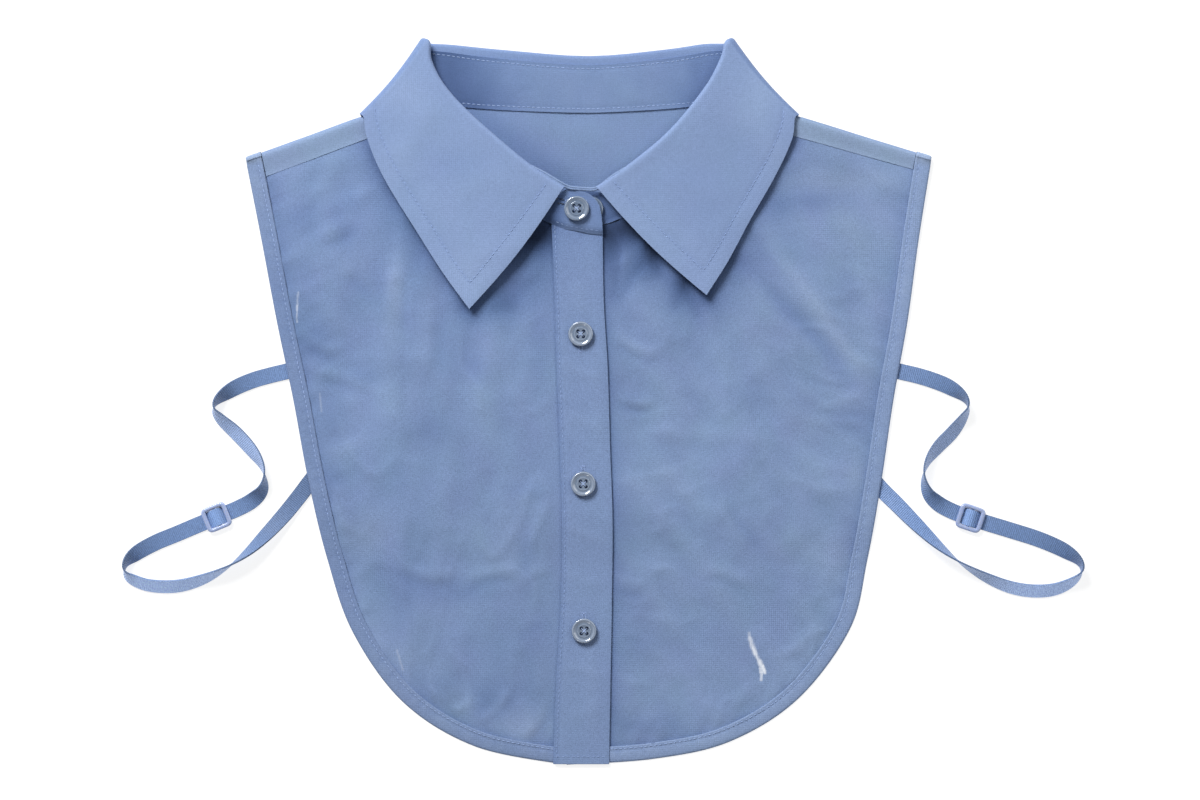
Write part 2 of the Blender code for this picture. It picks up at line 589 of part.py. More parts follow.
def slider(name, table, finish):
    """Adjuster: the strap runs under both end bars and over the lower centre bar."""
    cx, cy = table[SLIDER_ROW][:2]
    before, after = table[SLIDER_ROW - 1], table[SLIDER_ROW + 1]
    angle = math.atan2(after[1] - before[1], after[0] - before[0])
    half = SLIDER_LENGTH / 2.0
    block = bmesh.new()
    bmesh.ops.create_cube(block, size=1.0)
    bmesh.ops.scale(block, verts=block.verts, vec=(SLIDER_LENGTH, SLIDER_WIDTH, SLIDER_TOP - GAP))
    bmesh.ops.translate(block, verts=block.verts, vec=(0, 0, (SLIDER_TOP + GAP) / 2.0))
    upright = [edge for edge in block.edges if abs(edge.verts[0].co.z - edge.verts[1].co.z) > 1.0]
    bmesh.ops.bevel(
        block, geom=upright, offset=SLIDER_ROUND, segments=4, profile=0.5, affect="EDGES", material=-1
    )
    set_down(block, angle, cx, cy)
    # the strap's way through, seen along the bars: x along the strap, z up
    window, bar, beyond = half - SLIDER_BAR, SLIDER_BAR / 2.0, half + 2.0
    way = [
        (-beyond, LAYER), (-beyond, -1.0), (-bar, -1.0), (-bar, BAR_TOP), (bar, BAR_TOP), (bar, -1.0),
        (beyond, -1.0), (beyond, LAYER), (window, LAYER), (window, 5.0), (-window, 5.0), (-window, LAYER),
    ]
    wide = STRAP_WIDTH / 2.0 + GAP
    passage = bmesh.new()
    side = passage.faces.new([passage.verts.new((x, -wide, z)) for x, z in way])
    pushed = bmesh.ops.extrude_face_region(passage, geom=[side])
    moved = [part for part in pushed["geom"] if isinstance(part, bmesh.types.BMVert)]
    bmesh.ops.translate(passage, verts=moved, vec=(0, 2.0 * wide, 0))
    bmesh.ops.recalc_face_normals(passage, faces=passage.faces)
    set_down(passage, angle, cx, cy)
    cut(add_object(name, block, finish), add_object(name + "_passage", passage, finish))


def strap(name, table, side, finish):
    """Flat elastic that lies on the surface, stands on edge at its bends and passes through its slider."""
    cx, cy = table[SLIDER_ROW][:2]
    stations = []
    for k in range(len(table) - 1):
        steps = 8 if k in (SLIDER_ROW - 1, SLIDER_ROW) else 2
        stations += [(k + step / steps) / (len(table) - 1) for step in range(steps)]
    stations.append(1.0)

    def place(u, w):
        t = stations[round(u * (len(stations) - 1))]
        x, y, turn = row_at(table, t)
        x0, y0 = row_at(table, t - 0.004)[:2]
        x1, y1 = row_at(table, t + 0.004)[:2]
        run = math.hypot(x1 - x0, y1 - y0)
        angle = -side * math.radians(turn)
        half = STRAP_WIDTH / 2.0
        z = half * abs(math.sin(angle)) + STRAP_THICK / 2.0 * abs(math.cos(angle))
        rise = smooth((SLIDER_LENGTH / 2.0 - SLIDER_BAR - 0.2 - math.hypot(x - cx, y - cy)) / 2.9)
        z += rise * (BAR_TOP + GAP)
        reach = (w - 0.5) * STRAP_WIDTH
        flat = reach * math.cos(angle)
        return x - (y1 - y0) / run * flat, y + (x1 - x0) / run * flat, z + reach * math.sin(angle)

    thicken(add_object(name, sheet(len(stations) - 1, 1, place), finish), STRAP_THICK)


for old in list(bpy.data.objects):
    bpy.data.objects.remove(old, do_unlink=True)

cloth = material("cloth", CLOTH, 0.85)
collar_cloth = material("collar_cloth", COLLAR_CLOTH, 0.85)
elastic = material("elastic", ELASTIC, 0.7)
button_plastic = material("button_plastic", BUTTON_PLASTIC, 0.25)
slider_plastic = material("slider_plastic", SLIDER_PLASTIC, 0.35)

back_panel(cloth)
front("front_left", 1, EDGE_LEFT, SEAM_LEFT, NECK_START_LEFT, cloth)
front("front_right", -1, EDGE_RIGHT, SEAM_RIGHT, NECK_START_RIGHT, cloth)
edging("binding_left", 1, EDGE_LEFT, BACK_EDGE_LEFT, FOLD_LEFT, cloth)
edging("binding_right", -1, EDGE_RIGHT, BACK_EDGE_RIGHT, FOLD_RIGHT, cloth)
placket(cloth)
collar_stand(collar_cloth)
collar_fall(collar_cloth)
for name, x, y, z in BUTTONS:
    button(name, x, y, z, BUTTON_HEIGHT, button_plastic)
button("button_under", 1.2, 96.4, 3.2, UNDER_BUTTON_HEIGHT, button_plastic)
strap("strap_left", STRAP_LEFT, 1, elastic)
strap("strap_right", STRAP_RIGHT, -1, elastic)
slider("slider_left", STRAP_LEFT, slider_plastic)
slider("slider_right", STRAP_RIGHT, slider_plastic)
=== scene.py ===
"""Detachable shirt collar laid flat: cloth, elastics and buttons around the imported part."""

import math

import bmesh
import bpy
import mathutils
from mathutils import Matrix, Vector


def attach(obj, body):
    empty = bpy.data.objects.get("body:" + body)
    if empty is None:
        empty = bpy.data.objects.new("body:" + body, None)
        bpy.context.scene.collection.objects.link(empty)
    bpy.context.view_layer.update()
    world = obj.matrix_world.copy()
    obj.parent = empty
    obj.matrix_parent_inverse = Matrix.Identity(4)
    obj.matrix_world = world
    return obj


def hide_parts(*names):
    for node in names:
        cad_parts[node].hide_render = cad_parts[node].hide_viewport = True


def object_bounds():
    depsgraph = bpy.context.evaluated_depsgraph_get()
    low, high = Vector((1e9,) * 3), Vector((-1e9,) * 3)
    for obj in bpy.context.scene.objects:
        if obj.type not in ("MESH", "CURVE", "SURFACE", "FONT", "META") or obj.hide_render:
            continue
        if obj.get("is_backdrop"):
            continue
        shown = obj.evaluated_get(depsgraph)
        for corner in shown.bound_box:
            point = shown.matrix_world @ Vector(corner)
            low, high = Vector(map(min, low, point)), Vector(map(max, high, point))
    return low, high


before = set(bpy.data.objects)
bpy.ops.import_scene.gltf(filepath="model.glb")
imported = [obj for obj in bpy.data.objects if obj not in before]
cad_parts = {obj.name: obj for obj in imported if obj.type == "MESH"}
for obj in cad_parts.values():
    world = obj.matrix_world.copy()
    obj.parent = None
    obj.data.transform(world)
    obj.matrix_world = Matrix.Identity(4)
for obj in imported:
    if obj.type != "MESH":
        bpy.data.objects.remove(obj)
cad_low, cad_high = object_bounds()

# Studio: a camera straight above a plain pale light table, a wide soft light from the upper left,
# a weaker one from the right, a small one that only the buttons catch, and an even white room.
MM = 0.001  # the tables below are in millimetres
scene = bpy.context.scene
scene.view_settings.view_transform = "Standard"

camera_data = bpy.data.cameras.new("camera")
camera_data.lens = 85.0
camera_data.sensor_width = 36.0
camera_data.clip_end = 20.0
camera = bpy.data.objects.new("camera", camera_data)
camera.location = (5.75 * MM, 0.9 * MM, 1.42)
scene.collection.objects.link(camera)
scene.camera = camera

room = bpy.data.worlds.new("room")
room.use_nodes = True
room.node_tree.nodes["Background"].inputs["Color"].default_value = (0.97, 0.985, 1.0, 1.0)
room.node_tree.nodes["Background"].inputs["Strength"].default_value = 0.2
scene.world = room


def soft_light(name, place, size, power):
    """A square soft box that points at the middle of the table."""
    data = bpy.data.lights.new(name, "AREA")
    data.energy = power
    data.size = size
    lamp = bpy.data.objects.new(name, data)
    lamp.location = place
    lamp.rotation_euler = (-mathutils.Vector(place)).to_track_quat("-Z", "Y").to_euler()
    scene.collection.objects.link(lamp)


soft_light("key", (-0.85, 1.5, 1.35), 0.9, 62.0)
soft_light("fill", (1.4, 0.6, 1.6), 1.2, 9.0)
soft_light("glint", (-0.6, -1.2, 1.1), 0.2, 1.0)


def feed(tree, socket, value):
    """Give a socket another socket to follow, or a number, colour or vector to hold."""
    if isinstance(value, bpy.types.NodeSocket):
        tree.links.new(value, socket)
    else:
        socket.default_value = value


def feed_all(tree, node, values):
    """Feed a node's sockets by their names, with _ for a space."""
    for label, value in values.items():
        feed(tree, node.inputs[label.replace("_", " ")], value)


def new_finish(name, colour, roughness, **values):
    """A material with its shader's plain values set; gives it, its node tree and its shader."""
    finish = bpy.data.materials.new(name)
    finish.use_nodes = True
    tree = finish.node_tree
    shader = tree.nodes["Principled BSDF"]
    feed_all(tree, shader, {"Base Color": (*colour, 1.0), "Roughness": roughness, **values})
    return finish, tree, shader


table_top = bmesh.new()
bmesh.ops.create_grid(table_top, x_segments=1, y_segments=1, size=6.0)
table_mesh = bpy.data.meshes.new("table_top")
table_top.to_mesh(table_mesh)
table_top.free()
table_mesh.materials.append(new_finish(
    "pale_table", (0.32, 0.32, 0.32), 0.9, Emission_Color=(1.0, 1.0, 1.0, 1.0),
    Emission_Strength=0.8, Specular_IOR_Level=0.1,
)[0])
table = bpy.data.objects.new("table_top", table_mesh)
scene.collection.objects.link(table)
table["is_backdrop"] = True

# Side elastics: 8 mm woven ribbon with a fine cross rib, sewn to the back bib's edging, turned on
# edge at its bends, threaded through a slider, and sewn under the front's edge.
STRAP_WIDTH = 8.0
STRAP_THICK = 0.9
STRAP_STEP = 1.25  # along the ribbon, from one row of points to the next
RIB = 0.95  # from one cross rib to the next
SLIDER_LENGTH = 13.2
SLIDER_WIDTH = 12.9
SLIDER_TOP = 2.9
SLIDER_BAR = 1.6
RING_END = 2.3
RING_SIDE = 2.1
BAR_TOP = 1.5
GAP = 0.3
# x, y, turn on edge in degrees
STRAP_LEFT = [
    (-142.4, 17.4, 0), (-151.3, 15.2, 0), (-160.0, 13.1, 3), (-168.5, 10.6, 8), (-177.5, 6.6, 22),
    (-185.2, 0.9, 66), (-187.2, -3.8, 104), (-184.0, -8.6, 132), (-176.4, -15.6, 150),
    (-168.9, -23.8, 144), (-163.6, -31.4, 116), (-161.9, -38.1, 88), (-163.2, -44.4, 50),
    (-168.6, -49.6, 14), (-176.0, -53.6, 2), (-186.2, -57.8, 0), (-196.4, -62.0, 2),
    (-206.3, -66.2, 5), (-216.5, -70.4, 10), (-225.8, -75.6, 26), (-231.2, -81.0, 74),
    (-231.6, -85.4, 108), (-228.2, -88.8, 134), (-219.3, -91.9, 142), (-206.0, -92.2, 142),
    (-193.0, -88.8, 128), (-180.9, -82.8, 96), (-170.5, -75.2, 62), (-161.4, -66.5, 34),
    (-152.8, -57.1, 14), (-145.3, -47.8, 3), (-139.9, -40.6, 0), (-133.4, -32.3, 0),
]
STRAP_RIGHT = [
    (146.6, 17.6, 0), (155.8, 15.2, 0), (164.0, 13.3, 3), (172.0, 10.9, 8), (180.0, 7.6, 22),
    (187.2, 2.6, 62), (189.8, -2.6, 98), (187.2, -8.4, 126), (181.8, -15.6, 146),
    (175.0, -22.6, 142), (169.6, -30.0, 116), (167.6, -37.6, 88), (169.6, -45.4, 52),
    (175.2, -51.0, 16), (182.6, -55.0, 2), (191.2, -58.2, 0), (201.0, -61.2, 2), (212.2, -64.6, 5),
    (225.6, -68.9, 10), (237.6, -74.2, 26), (245.2, -79.9, 68), (246.4, -85.2, 100),
    (241.6, -90.2, 128), (232.8, -93.9, 142), (222.0, -94.6, 144), (210.6, -92.6, 138),
    (198.4, -87.6, 122), (186.6, -80.8, 94), (175.6, -72.2, 60), (164.2, -61.4, 30),
    (154.6, -51.6, 12), (146.1, -43.1, 0), (139.4, -35.2, 0),
]
SLIDER_ROW = 15
# the ribbon's two sides get a darker and a lighter copy of one colour: painted shade and painted
# light for how each side is turned to the light
ELASTIC_SHADED = (0.165, 0.265, 0.50)
ELASTIC_LIT = (0.385, 0.52, 0.84)
SLIDER_BLUE = (0.345, 0.42, 0.65)


def smooth(t):
    """Ease from 0 to 1 as t goes from 0 to 1."""
    t = min(max(t, 0.0), 1.0)
    return t * t * (3.0 - 2.0 * t)


def hump(distance, width):
    """1 at no distance, and gone smoothly past twice the width."""
    return math.exp(-((distance / width) ** 2))


def falling(distance, reach):
    """1 at no distance, and a third of it after each reach."""
    return math.exp(-distance / reach)


def between(a, b, share):
    """The point at a share of the way from a to b."""
    return tuple(p + (q - p) * share for p, q in zip(a, b))


def row_at(rows, t):
    """Every column of a table, read on a smooth curve through its rows, t from 0 to 1."""
    place = min(max(t, 0.0), 1.0) * (len(rows) - 1)
    k = min(int(place), len(rows) - 2)
    f = place - k
    before = rows[max(k - 1, 0)]
    after = rows[min(k + 2, len(rows) - 1)]
    values = []
    for p0, p1, p2, p3 in zip(before, rows[k], rows[k + 1], after):
        bend = (2 * p0 - 5 * p1 + 4 * p2 - p3) * f * f + (3 * p1 - p0 - 3 * p2 + p3) * f * f * f
        values.append(p1 + 0.5 * ((p2 - p0) * f + bend))
    return values


def inset(rows, t, distance, side, step=0.01):
    """A point beside an outline by a distance; side is 1 for the left half, -1 for the right."""
    x0, y0 = row_at(rows, t - step)[:2]
    x1, y1 = row_at(rows, t + step)[:2]
    x, y = row_at(rows, t)[:2]
    run = math.hypot(x1 - x0, y1 - y0)
    return x - side * (y1 - y0) / run * distance, y + side * (x1 - x0) / run * distance


def even_shares(rows, step):
    """Shares of a table's curve that lie an even distance apart."""
    fine = [k / 4000 for k in range(4001)]
    places = [row_at(rows, t)[:2] for t in fine]
    runs = [0.0]
    for a, b in zip(places, places[1:]):
        runs.append(runs[-1] + math.dist(a, b))
    count = round(runs[-1] / step)
    shares, k = [], 0
    for n in range(count + 1):
        while k < 4000 and runs[k] < runs[-1] * n / count:
            k += 1
        shares.append(fine[k])
    return shares


def sheet(columns, rows, place):
    """A grid of cloth with a UV map and a tone at each point; place(u, w) gives x, y, z and tone,
    or None where there is no cloth."""
    shape = bmesh.new()
    shape.loops.layers.uv.new("UVMap")
    tone = shape.verts.layers.float.new("tone")
    bmesh.ops.create_grid(shape, x_segments=columns, y_segments=rows, size=1.0, calc_uvs=True)
    left_out = []
    for vert in shape.verts:
        point = place((vert.co.x + 1.0) / 2.0, (vert.co.y + 1.0) / 2.0)
        if point is None:
            left_out.append(vert)
        else:
            vert.co = point[:3]
            vert[tone] = point[3] if len(point) > 3 else 0.0
    bmesh.ops.delete(shape, geom=left_out, context="VERTS")
    return shape


def add_piece(name, shape, finishes, node=None):
    """Turn a bmesh, in millimetres, into a piece that rides on the part and stands for its node."""
    bmesh.ops.scale(shape, vec=(MM, MM, MM), verts=shape.verts)
    mesh = bpy.data.meshes.new(name)
    shape.to_mesh(mesh)
    shape.free()
    for finish in finishes:
        mesh.materials.append(finish)
    mesh.shade_smooth()
    piece = bpy.data.objects.new(name, mesh)
    scene.collection.objects.link(piece)
    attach(piece, "root")
    if node:
        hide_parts(node)
    return piece


def wall(piece, thickness, soft=0.0):
    """Give an open sheet its thickness, half to each side, and soften its cut edges."""
    solid = piece.modifiers.new("wall", "SOLIDIFY")
    solid.thickness = thickness * MM
    solid.offset = 0.0
    if soft:
        round_over = piece.modifiers.new("soft_edge", "BEVEL")
        round_over.width = soft * MM
        round_over.segments = 2
        round_over.limit_method = "ANGLE"
        round_over.angle_limit = math.radians(60)
        round_over.harden_normals = True
    return solid


def add_node(tree, kind, **values):
    """A shader node of a kind, with its named inputs fed."""
    node = tree.nodes.new("ShaderNode" + kind)
    feed_all(tree, node, values)
    return node


def add_math(tree, operation, *values):
    """A math node fed by sockets or numbers; gives its output."""
    node = tree.nodes.new("ShaderNodeMath")
    node.operation = operation
    for socket, value in zip(node.inputs, values):
        feed(tree, socket, value)
    return node.outputs[0]


def add_vector(tree, operation, first, second):
    """A vector math node fed by sockets or vectors; gives its vector, or the value it measures."""
    node = tree.nodes.new("ShaderNodeVectorMath")
    node.operation = operation
    feed(tree, node.inputs[0], first)
    feed(tree, node.inputs["Scale" if operation == "SCALE" else 1], second)
    return node.outputs["Value" if operation in ("DOT_PRODUCT", "DISTANCE") else "Vector"]


def remap(tree, value, low, high, new_low, new_high):
    """Carry a value from one range to another."""
    return add_node(
        tree, "MapRange", Value=value, From_Min=low, From_Max=high, To_Min=new_low, To_Max=new_high
    ).outputs[0]


def object_place(tree):
    """Where a point lies on the garment."""
    return add_node(tree, "TexCoord").outputs["Object"]


def point_tone(tree):
    """The tone that the points of a piece carry."""
    node = add_node(tree, "Attribute")
    node.attribute_name = "tone"
    return node.outputs["Fac"]


def emboss(tree, shader, height, strength, deep):
    """Let a height shape the shader's normal, as deep as a distance in millimetres."""
    bump = add_node(tree, "Bump", Strength=strength, Distance=deep * MM, Height=height)
    feed(tree, shader.inputs["Normal"], bump.outputs["Normal"])


def elastic_finish(name, colour, rib_depth, count):
    """Woven elastic: cross ribs along the ribbon and a firmer edge down each side."""
    finish, tree, shader = new_finish(name, colour, 0.55, Sheen_Weight=0.15, Sheen_Roughness=0.4)
    ribbon = add_node(tree, "SeparateXYZ", Vector=add_node(tree, "UVMap").outputs["UV"])
    rib = add_math(tree, "SINE", add_math(tree, "MULTIPLY", ribbon.outputs["X"], count * math.tau))
    ribs = remap(tree, rib, -1.0, 1.0, 1.0 - rib_depth, 1.0 + rib_depth * 0.5)
    from_edge = add_math(tree, "PINGPONG", ribbon.outputs["Y"], 0.5)
    border = remap(tree, from_edge, 0.06, 0.12, 0.62, 1.0)
    lighter = add_math(tree, "MULTIPLY_ADD", border, point_tone(tree), border)
    fuzz = add_node(tree, "TexNoise", Scale=1500.0, Vector=object_place(tree))
    uneven = remap(tree, fuzz.outputs["Fac"], 0.0, 1.0, 0.55, 1.45)
    shade = add_math(tree, "MULTIPLY", add_math(tree, "MULTIPLY", ribs, uneven), lighter)
    feed(tree, shader.inputs["Base Color"], add_vector(tree, "SCALE", colour, shade))
    emboss(tree, shader, rib, 0.5, 0.15)
    return finish


def strap(side_name, rows, side):
    """One elastic and its slider; the elastic's exit point is worked out but not used."""
    shares = even_shares(rows, STRAP_STEP)
    cx, cy = rows[SLIDER_ROW][:2]
    across = [-0.5, -0.44, 0.0, 0.44, 0.5]

    def at(t, reach):
        x, y, turn = row_at(rows, t)
        angle = -side * math.radians(turn)
        z = STRAP_WIDTH / 2.0 * abs(math.sin(angle)) + 0.5 * abs(math.cos(angle))
        near = SLIDER_LENGTH / 2.0 - RING_END - 0.1 - math.hypot(x - cx, y - cy)
        z += smooth(near / 2.8) * (BAR_TOP + GAP)
        flat = reach * STRAP_WIDTH * math.cos(angle) * (1.0 + 0.07 * smooth(near / 0.6))
        lift = reach * STRAP_WIDTH * math.sin(angle)
        return (*inset(rows, t, flat, 1, 0.004), z + lift)

    def place(u, w):
        t = shares[round(u * (len(shares) - 1))]
        row = t * (len(rows) - 1)
        # painted light on the run back from the outer turn and in the slider's window, painted
        # shade at two bends
        tone = 0.62 * smooth((row - 20.5) / 2.0) * smooth((26.5 - row) / 2.0)
        tone -= 0.12 * hump(row - 5.0, 1.3) + 0.2 * hump(row - 19.6, 1.2)
        tone += 0.45 * hump(row - SLIDER_ROW - side * 0.08, 0.26)
        tone += (0.14 if side < 0 else -0.30) * smooth((row - 25.5) / 3.0)
        return (*at(t, across[round(w * 4)]), tone)

    path = [[value * MM for value in at(t, 0.0)] for t in shares]
    length = sum(math.dist(a, b) for a, b in zip(path, path[1:]))
    count = round(length / MM / RIB)
    dark = elastic_finish("elastic_shaded_side_" + side_name, ELASTIC_SHADED, 0.16, count)
    light = elastic_finish("elastic_lit_side_" + side_name, ELASTIC_LIT, 0.05, count)
    shape = sheet(len(shares) - 1, 4, place)
    ribbon = add_piece(
        "elastic_" + side_name, shape, [dark, light], "strap_" + side_name
    )
    solid = wall(ribbon, STRAP_THICK, 0.2)
    solid.material_offset = 1
    clip = slider("adjuster_" + side_name, rows, "slider_" + side_name)
    exit_point = [value * MM for value in at(1.0 / (len(rows) - 1), 0.0)]


# The adjuster is a moulded ring with a bar across its middle; the elastic dips under its end
# bars and rides over the middle bar. Light blue glossy plastic, every edge rounded.
slider_finish, tree, shader = new_finish(
    "slider_plastic", SLIDER_BLUE, 0.28, Coat_Weight=0.4, Coat_Roughness=0.12,
    Subsurface_Weight=0.15, Subsurface_Radius=(0.002, 0.003, 0.005),
)
grain = add_node(tree, "TexNoise", Scale=900.0, Vector=object_place(tree))
emboss(tree, shader, grain.outputs["Fac"], 0.08, 0.05)


def slider(name, rows, node):
    """A rounded ring and its middle bar, turned to the elastic's direction."""
    half_x = (SLIDER_LENGTH - RING_END) / 2.0
    half_y = (SLIDER_WIDTH - RING_SIDE) / 2.0
    corner = 7.0  # squareness of the ring

    def place(u, w):
        turn, round_turn = u * math.tau, w * math.tau
        c, s = math.cos(turn), math.sin(turn)
        x = half_x * math.copysign(abs(c) ** (2.0 / corner), c)
        y = half_y * math.copysign(abs(s) ** (2.0 / corner), s)
        out_x = math.copysign(abs(x / half_x) ** (corner - 1.0) / half_x, x)
        out_y = math.copysign(abs(y / half_y) ** (corner - 1.0) / half_y, y)
        run = math.hypot(out_x, out_y)
        across = math.cos(round_turn)
        up = math.sin(round_turn)
        wide = RING_SIDE + (RING_END - RING_SIDE) * abs(out_x) / run
        reach = wide / 2.0 * math.copysign(abs(across) ** 0.7, across)
        low = 0.3 + 1.15 * smooth((4.9 - abs(y)) / 0.7) * smooth((abs(x) - half_x + 1.0) / 0.6)
        middle, tall = (SLIDER_TOP + low) / 2.0, (SLIDER_TOP - low) / 2.0
        z = middle + tall * math.copysign(abs(up) ** 0.7, up)
        return x + out_x / run * reach, y + out_y / run * reach, z

    shape = sheet(96, 14, place)
    bmesh.ops.remove_doubles(shape, verts=shape.verts, dist=0.0005)
    made = bmesh.ops.create_cube(shape, size=1.0)
    bar = made["verts"]
    bmesh.ops.scale(shape, verts=bar, vec=(SLIDER_BAR, SLIDER_WIDTH - 2.6, BAR_TOP - 0.4))
    bmesh.ops.translate(shape, verts=bar, vec=(0.0, 0.0, 0.3 + (BAR_TOP - 0.4) / 2.0))
    edges = list({edge for vert in bar for edge in vert.link_edges})
    bmesh.ops.bevel(
        shape, geom=edges, offset=0.3, segments=2, profile=0.5, affect="EDGES", material=-1
    )
    bmesh.ops.recalc_face_normals(shape, faces=shape.faces)
    x0, y0 = rows[SLIDER_ROW - 1][:2]
    x1, y1 = rows[SLIDER_ROW + 1][:2]
    turn = mathutils.Matrix.Rotation(math.atan2(y1 - y0, x1 - x0), 3, "Z")
    bmesh.ops.rotate(shape, verts=shape.verts, cent=(0, 0, 0), matrix=turn)
    bmesh.ops.translate(shape, verts=shape.verts, vec=(*rows[SLIDER_ROW][:2], 0.0))
    return add_piece(name, shape, [slider_finish], node)


strap("left", STRAP_LEFT, 1)
strap("right", STRAP_RIGHT, -1)

# Cotton: plain-weave steel-blue shirting. Its yarns are uneven, so fine streaks run both ways;
# washing has left soft lighter and darker clouds. Each piece's tone is partly painted light and
# shade: lighter on its crease ridges, darker in their troughs and where other parts shade it.
YARN = 0.5  # from one yarn to the next


def streaks(tree, vector, across, along, detail):
    """Noise drawn out along one direction: across and along are its scales per metre in x and y."""
    stretched = add_node(tree, "Mapping", Scale=(across, along, 40.0), Vector=vector)
    noise = add_node(
        tree, "TexNoise", Scale=1.0, Detail=detail, Vector=stretched.outputs["Vector"]
    )
    return noise.outputs["Fac"]


def new_group(name, taken, handed):
    """A shared effect; gives the group, the sockets it takes and the sockets it hands out."""
    group = bpy.data.node_groups.new(name, "ShaderNodeTree")
    for way, sockets in (("INPUT", taken), ("OUTPUT", handed)):
        for label, kind in sockets.items():
            group.interface.new_socket(label, in_out=way, socket_type="NodeSocket" + kind)
    start, end = (group.nodes.new(kind) for kind in ("NodeGroupInput", "NodeGroupOutput"))
    return group, start.outputs, end.inputs


def add_group(tree, group, **values):
    """A shared effect placed in a material, with its named inputs fed."""
    node = tree.nodes.new("ShaderNodeGroup")
    node.node_tree = group
    feed_all(tree, node, values)
    return node


def blend(tree, factor, first, second):
    """Mix two colours by a factor; gives the colour."""
    mix = tree.nodes.new("ShaderNodeMix")
    mix.data_type = "RGBA"
    feed_all(tree, mix, {"Factor": factor, "A": first, "B": second})
    return mix.outputs["Result"]


weave, given, handed = new_group(
    "plain_weave",
    {"Vector": "Vector", "Colour": "Color", "Tone": "Float", "Streaks": "Float", "Clouds": "Float"},
    {"Colour": "Color", "Height": "Float"},
)


def calc(operation, *values):
    """A math node of the weave."""
    return add_math(weave, operation, *values)


def uneven(across, along, detail):
    """Noise of the weave, from about -0.5 to 0.5."""
    return calc("SUBTRACT", streaks(weave, given["Vector"], across, along, detail), 0.5)


def tint(amount, red, green, blue):
    """A white that an amount carries away by its own share in each colour."""
    parts = [calc("MULTIPLY_ADD", amount, share, 1.0) for share in (red, green, blue)]
    return add_node(weave, "CombineXYZ", X=parts[0], Y=parts[1], Z=parts[2]).outputs[0]


apart = add_node(weave, "SeparateXYZ", Vector=given["Vector"])
turns = math.pi / (YARN * MM)
warp = calc("SINE", calc("MULTIPLY", apart.outputs["X"], turns))
weft = calc("SINE", calc("MULTIPLY", apart.outputs["Y"], turns))
checker = calc("MULTIPLY", calc("ADD", warp, weft), 0.5)
slubs = calc("ADD", uneven(1500.0, 500.0, 1.0), uneven(500.0, 1500.0, 1.0))
slubs = calc("MULTIPLY", slubs, 0.5)
slubs = calc("MULTIPLY_ADD", uneven(2100.0, 2100.0, 1.0), 1.3, slubs)
cloudy = calc("ADD", uneven(22.0, 17.0, 3.0), calc("MULTIPLY", uneven(95.0, 80.0, 2.0), 0.25))
shade = calc("MULTIPLY_ADD", slubs, given["Streaks"], 1.0)
# the weave shows as a fine dotted grid that comes and goes
zones = calc("ADD", uneven(40.0, 32.0, 2.0), 0.12)
seen = calc("MULTIPLY", calc("MAXIMUM", zones, 0.0), 1.15)
seen = calc("MULTIPLY", seen, given["Streaks"])
shade = calc("ADD", shade, calc("MULTIPLY", checker, seen))
shade = calc("ADD", shade, calc("MULTIPLY", cloudy, given["Clouds"]))
lit = calc("MAXIMUM", calc("ADD", given["Tone"], 1.0), 0.12)
shaded = add_vector(weave, "SCALE", given["Colour"], calc("MULTIPLY", shade, lit))
# some clouds are greyer and some bluer
hue = calc("MULTIPLY", uneven(48.0, 36.0, 2.0), given["Clouds"])
hued = add_vector(weave, "MULTIPLY", shaded, tint(hue, -0.28, 0.24, -0.34))
# shaded cloth looks bluer, and cloth in the light whiter
cooled = add_vector(weave, "MULTIPLY", hued, tint(given["Tone"], 0.40, 0.15, -0.30))
feed(weave, handed["Colour"], cooled)
height = calc("MULTIPLY_ADD", checker, 0.3, calc("MULTIPLY", slubs, 0.9))
feed(weave, handed["Height"], height)

# A pale mark is a scuffed line in the cotton, ragged at its sides, where the fibres are worn
# white. It fades out from its middle line, and several make up a stain.
SCUFF_WHITE = (0.82, 0.86, 0.93, 1.0)
mark, given, handed = new_group(
    "pale_mark", {"Vector": "Vector", "Start": "Vector", "End": "Vector", "Width": "Float"},
    {"Mask": "Float"},
)
flat = add_vector(mark, "MULTIPLY", given["Vector"], (1.0, 1.0, 0.0))
offset = add_vector(mark, "SUBTRACT", flat, given["Start"])
run = add_vector(mark, "SUBTRACT", given["End"], given["Start"])
reach = add_vector(mark, "DOT_PRODUCT", offset, run)
share = add_math(mark, "DIVIDE", reach, add_vector(mark, "DOT_PRODUCT", run, run))
share = add_math(mark, "MINIMUM", add_math(mark, "MAXIMUM", share, 0.0), 1.0)
away = add_vector(mark, "DISTANCE", offset, add_vector(mark, "SCALE", run, share))
ragged = add_math(mark, "SUBTRACT", streaks(mark, given["Vector"], 1500.0, 420.0, 2.0), 0.5)
ragged = add_math(mark, "MULTIPLY", ragged, 1.3 * MM)
fade = add_node(
    mark, "MapRange", Value=add_math(mark, "ADD", away, ragged), From_Min=given["Width"],
    From_Max=add_math(mark, "MULTIPLY", given["Width"], 0.1),
)
fade.interpolation_type = "SMOOTHSTEP"
feed(mark, handed["Mask"], fade.outputs[0])


def cotton(name, colour, streak=0.52, cloud=0.26, marks=()):
    """Shirting of one colour, with any pale marks: start x, y, end x, y, half width, strength."""
    finish, tree, shader = new_finish(
        name, colour, 0.85, Specular_IOR_Level=0.25, Sheen_Weight=0.06, Sheen_Roughness=0.5
    )
    where = object_place(tree)
    cloth = add_group(
        tree, weave, Vector=where, Tone=point_tone(tree), Colour=(*colour, 1.0), Streaks=streak,
        Clouds=cloud,
    )
    surface = cloth.outputs["Colour"]
    for x0, y0, x1, y1, half, strength in marks:
        scuff = add_group(
            tree, mark, Vector=where, Start=(x0 * MM, y0 * MM, 0.0), End=(x1 * MM, y1 * MM, 0.0),
            Width=half * MM,
        )
        worn = add_math(tree, "MULTIPLY", scuff.outputs["Mask"], strength)
        surface = blend(tree, worn, surface, SCUFF_WHITE)
    feed(tree, shader.inputs["Base Color"], surface)
    emboss(tree, shader, cloth.outputs["Height"], 0.55, 0.12)
    return finish


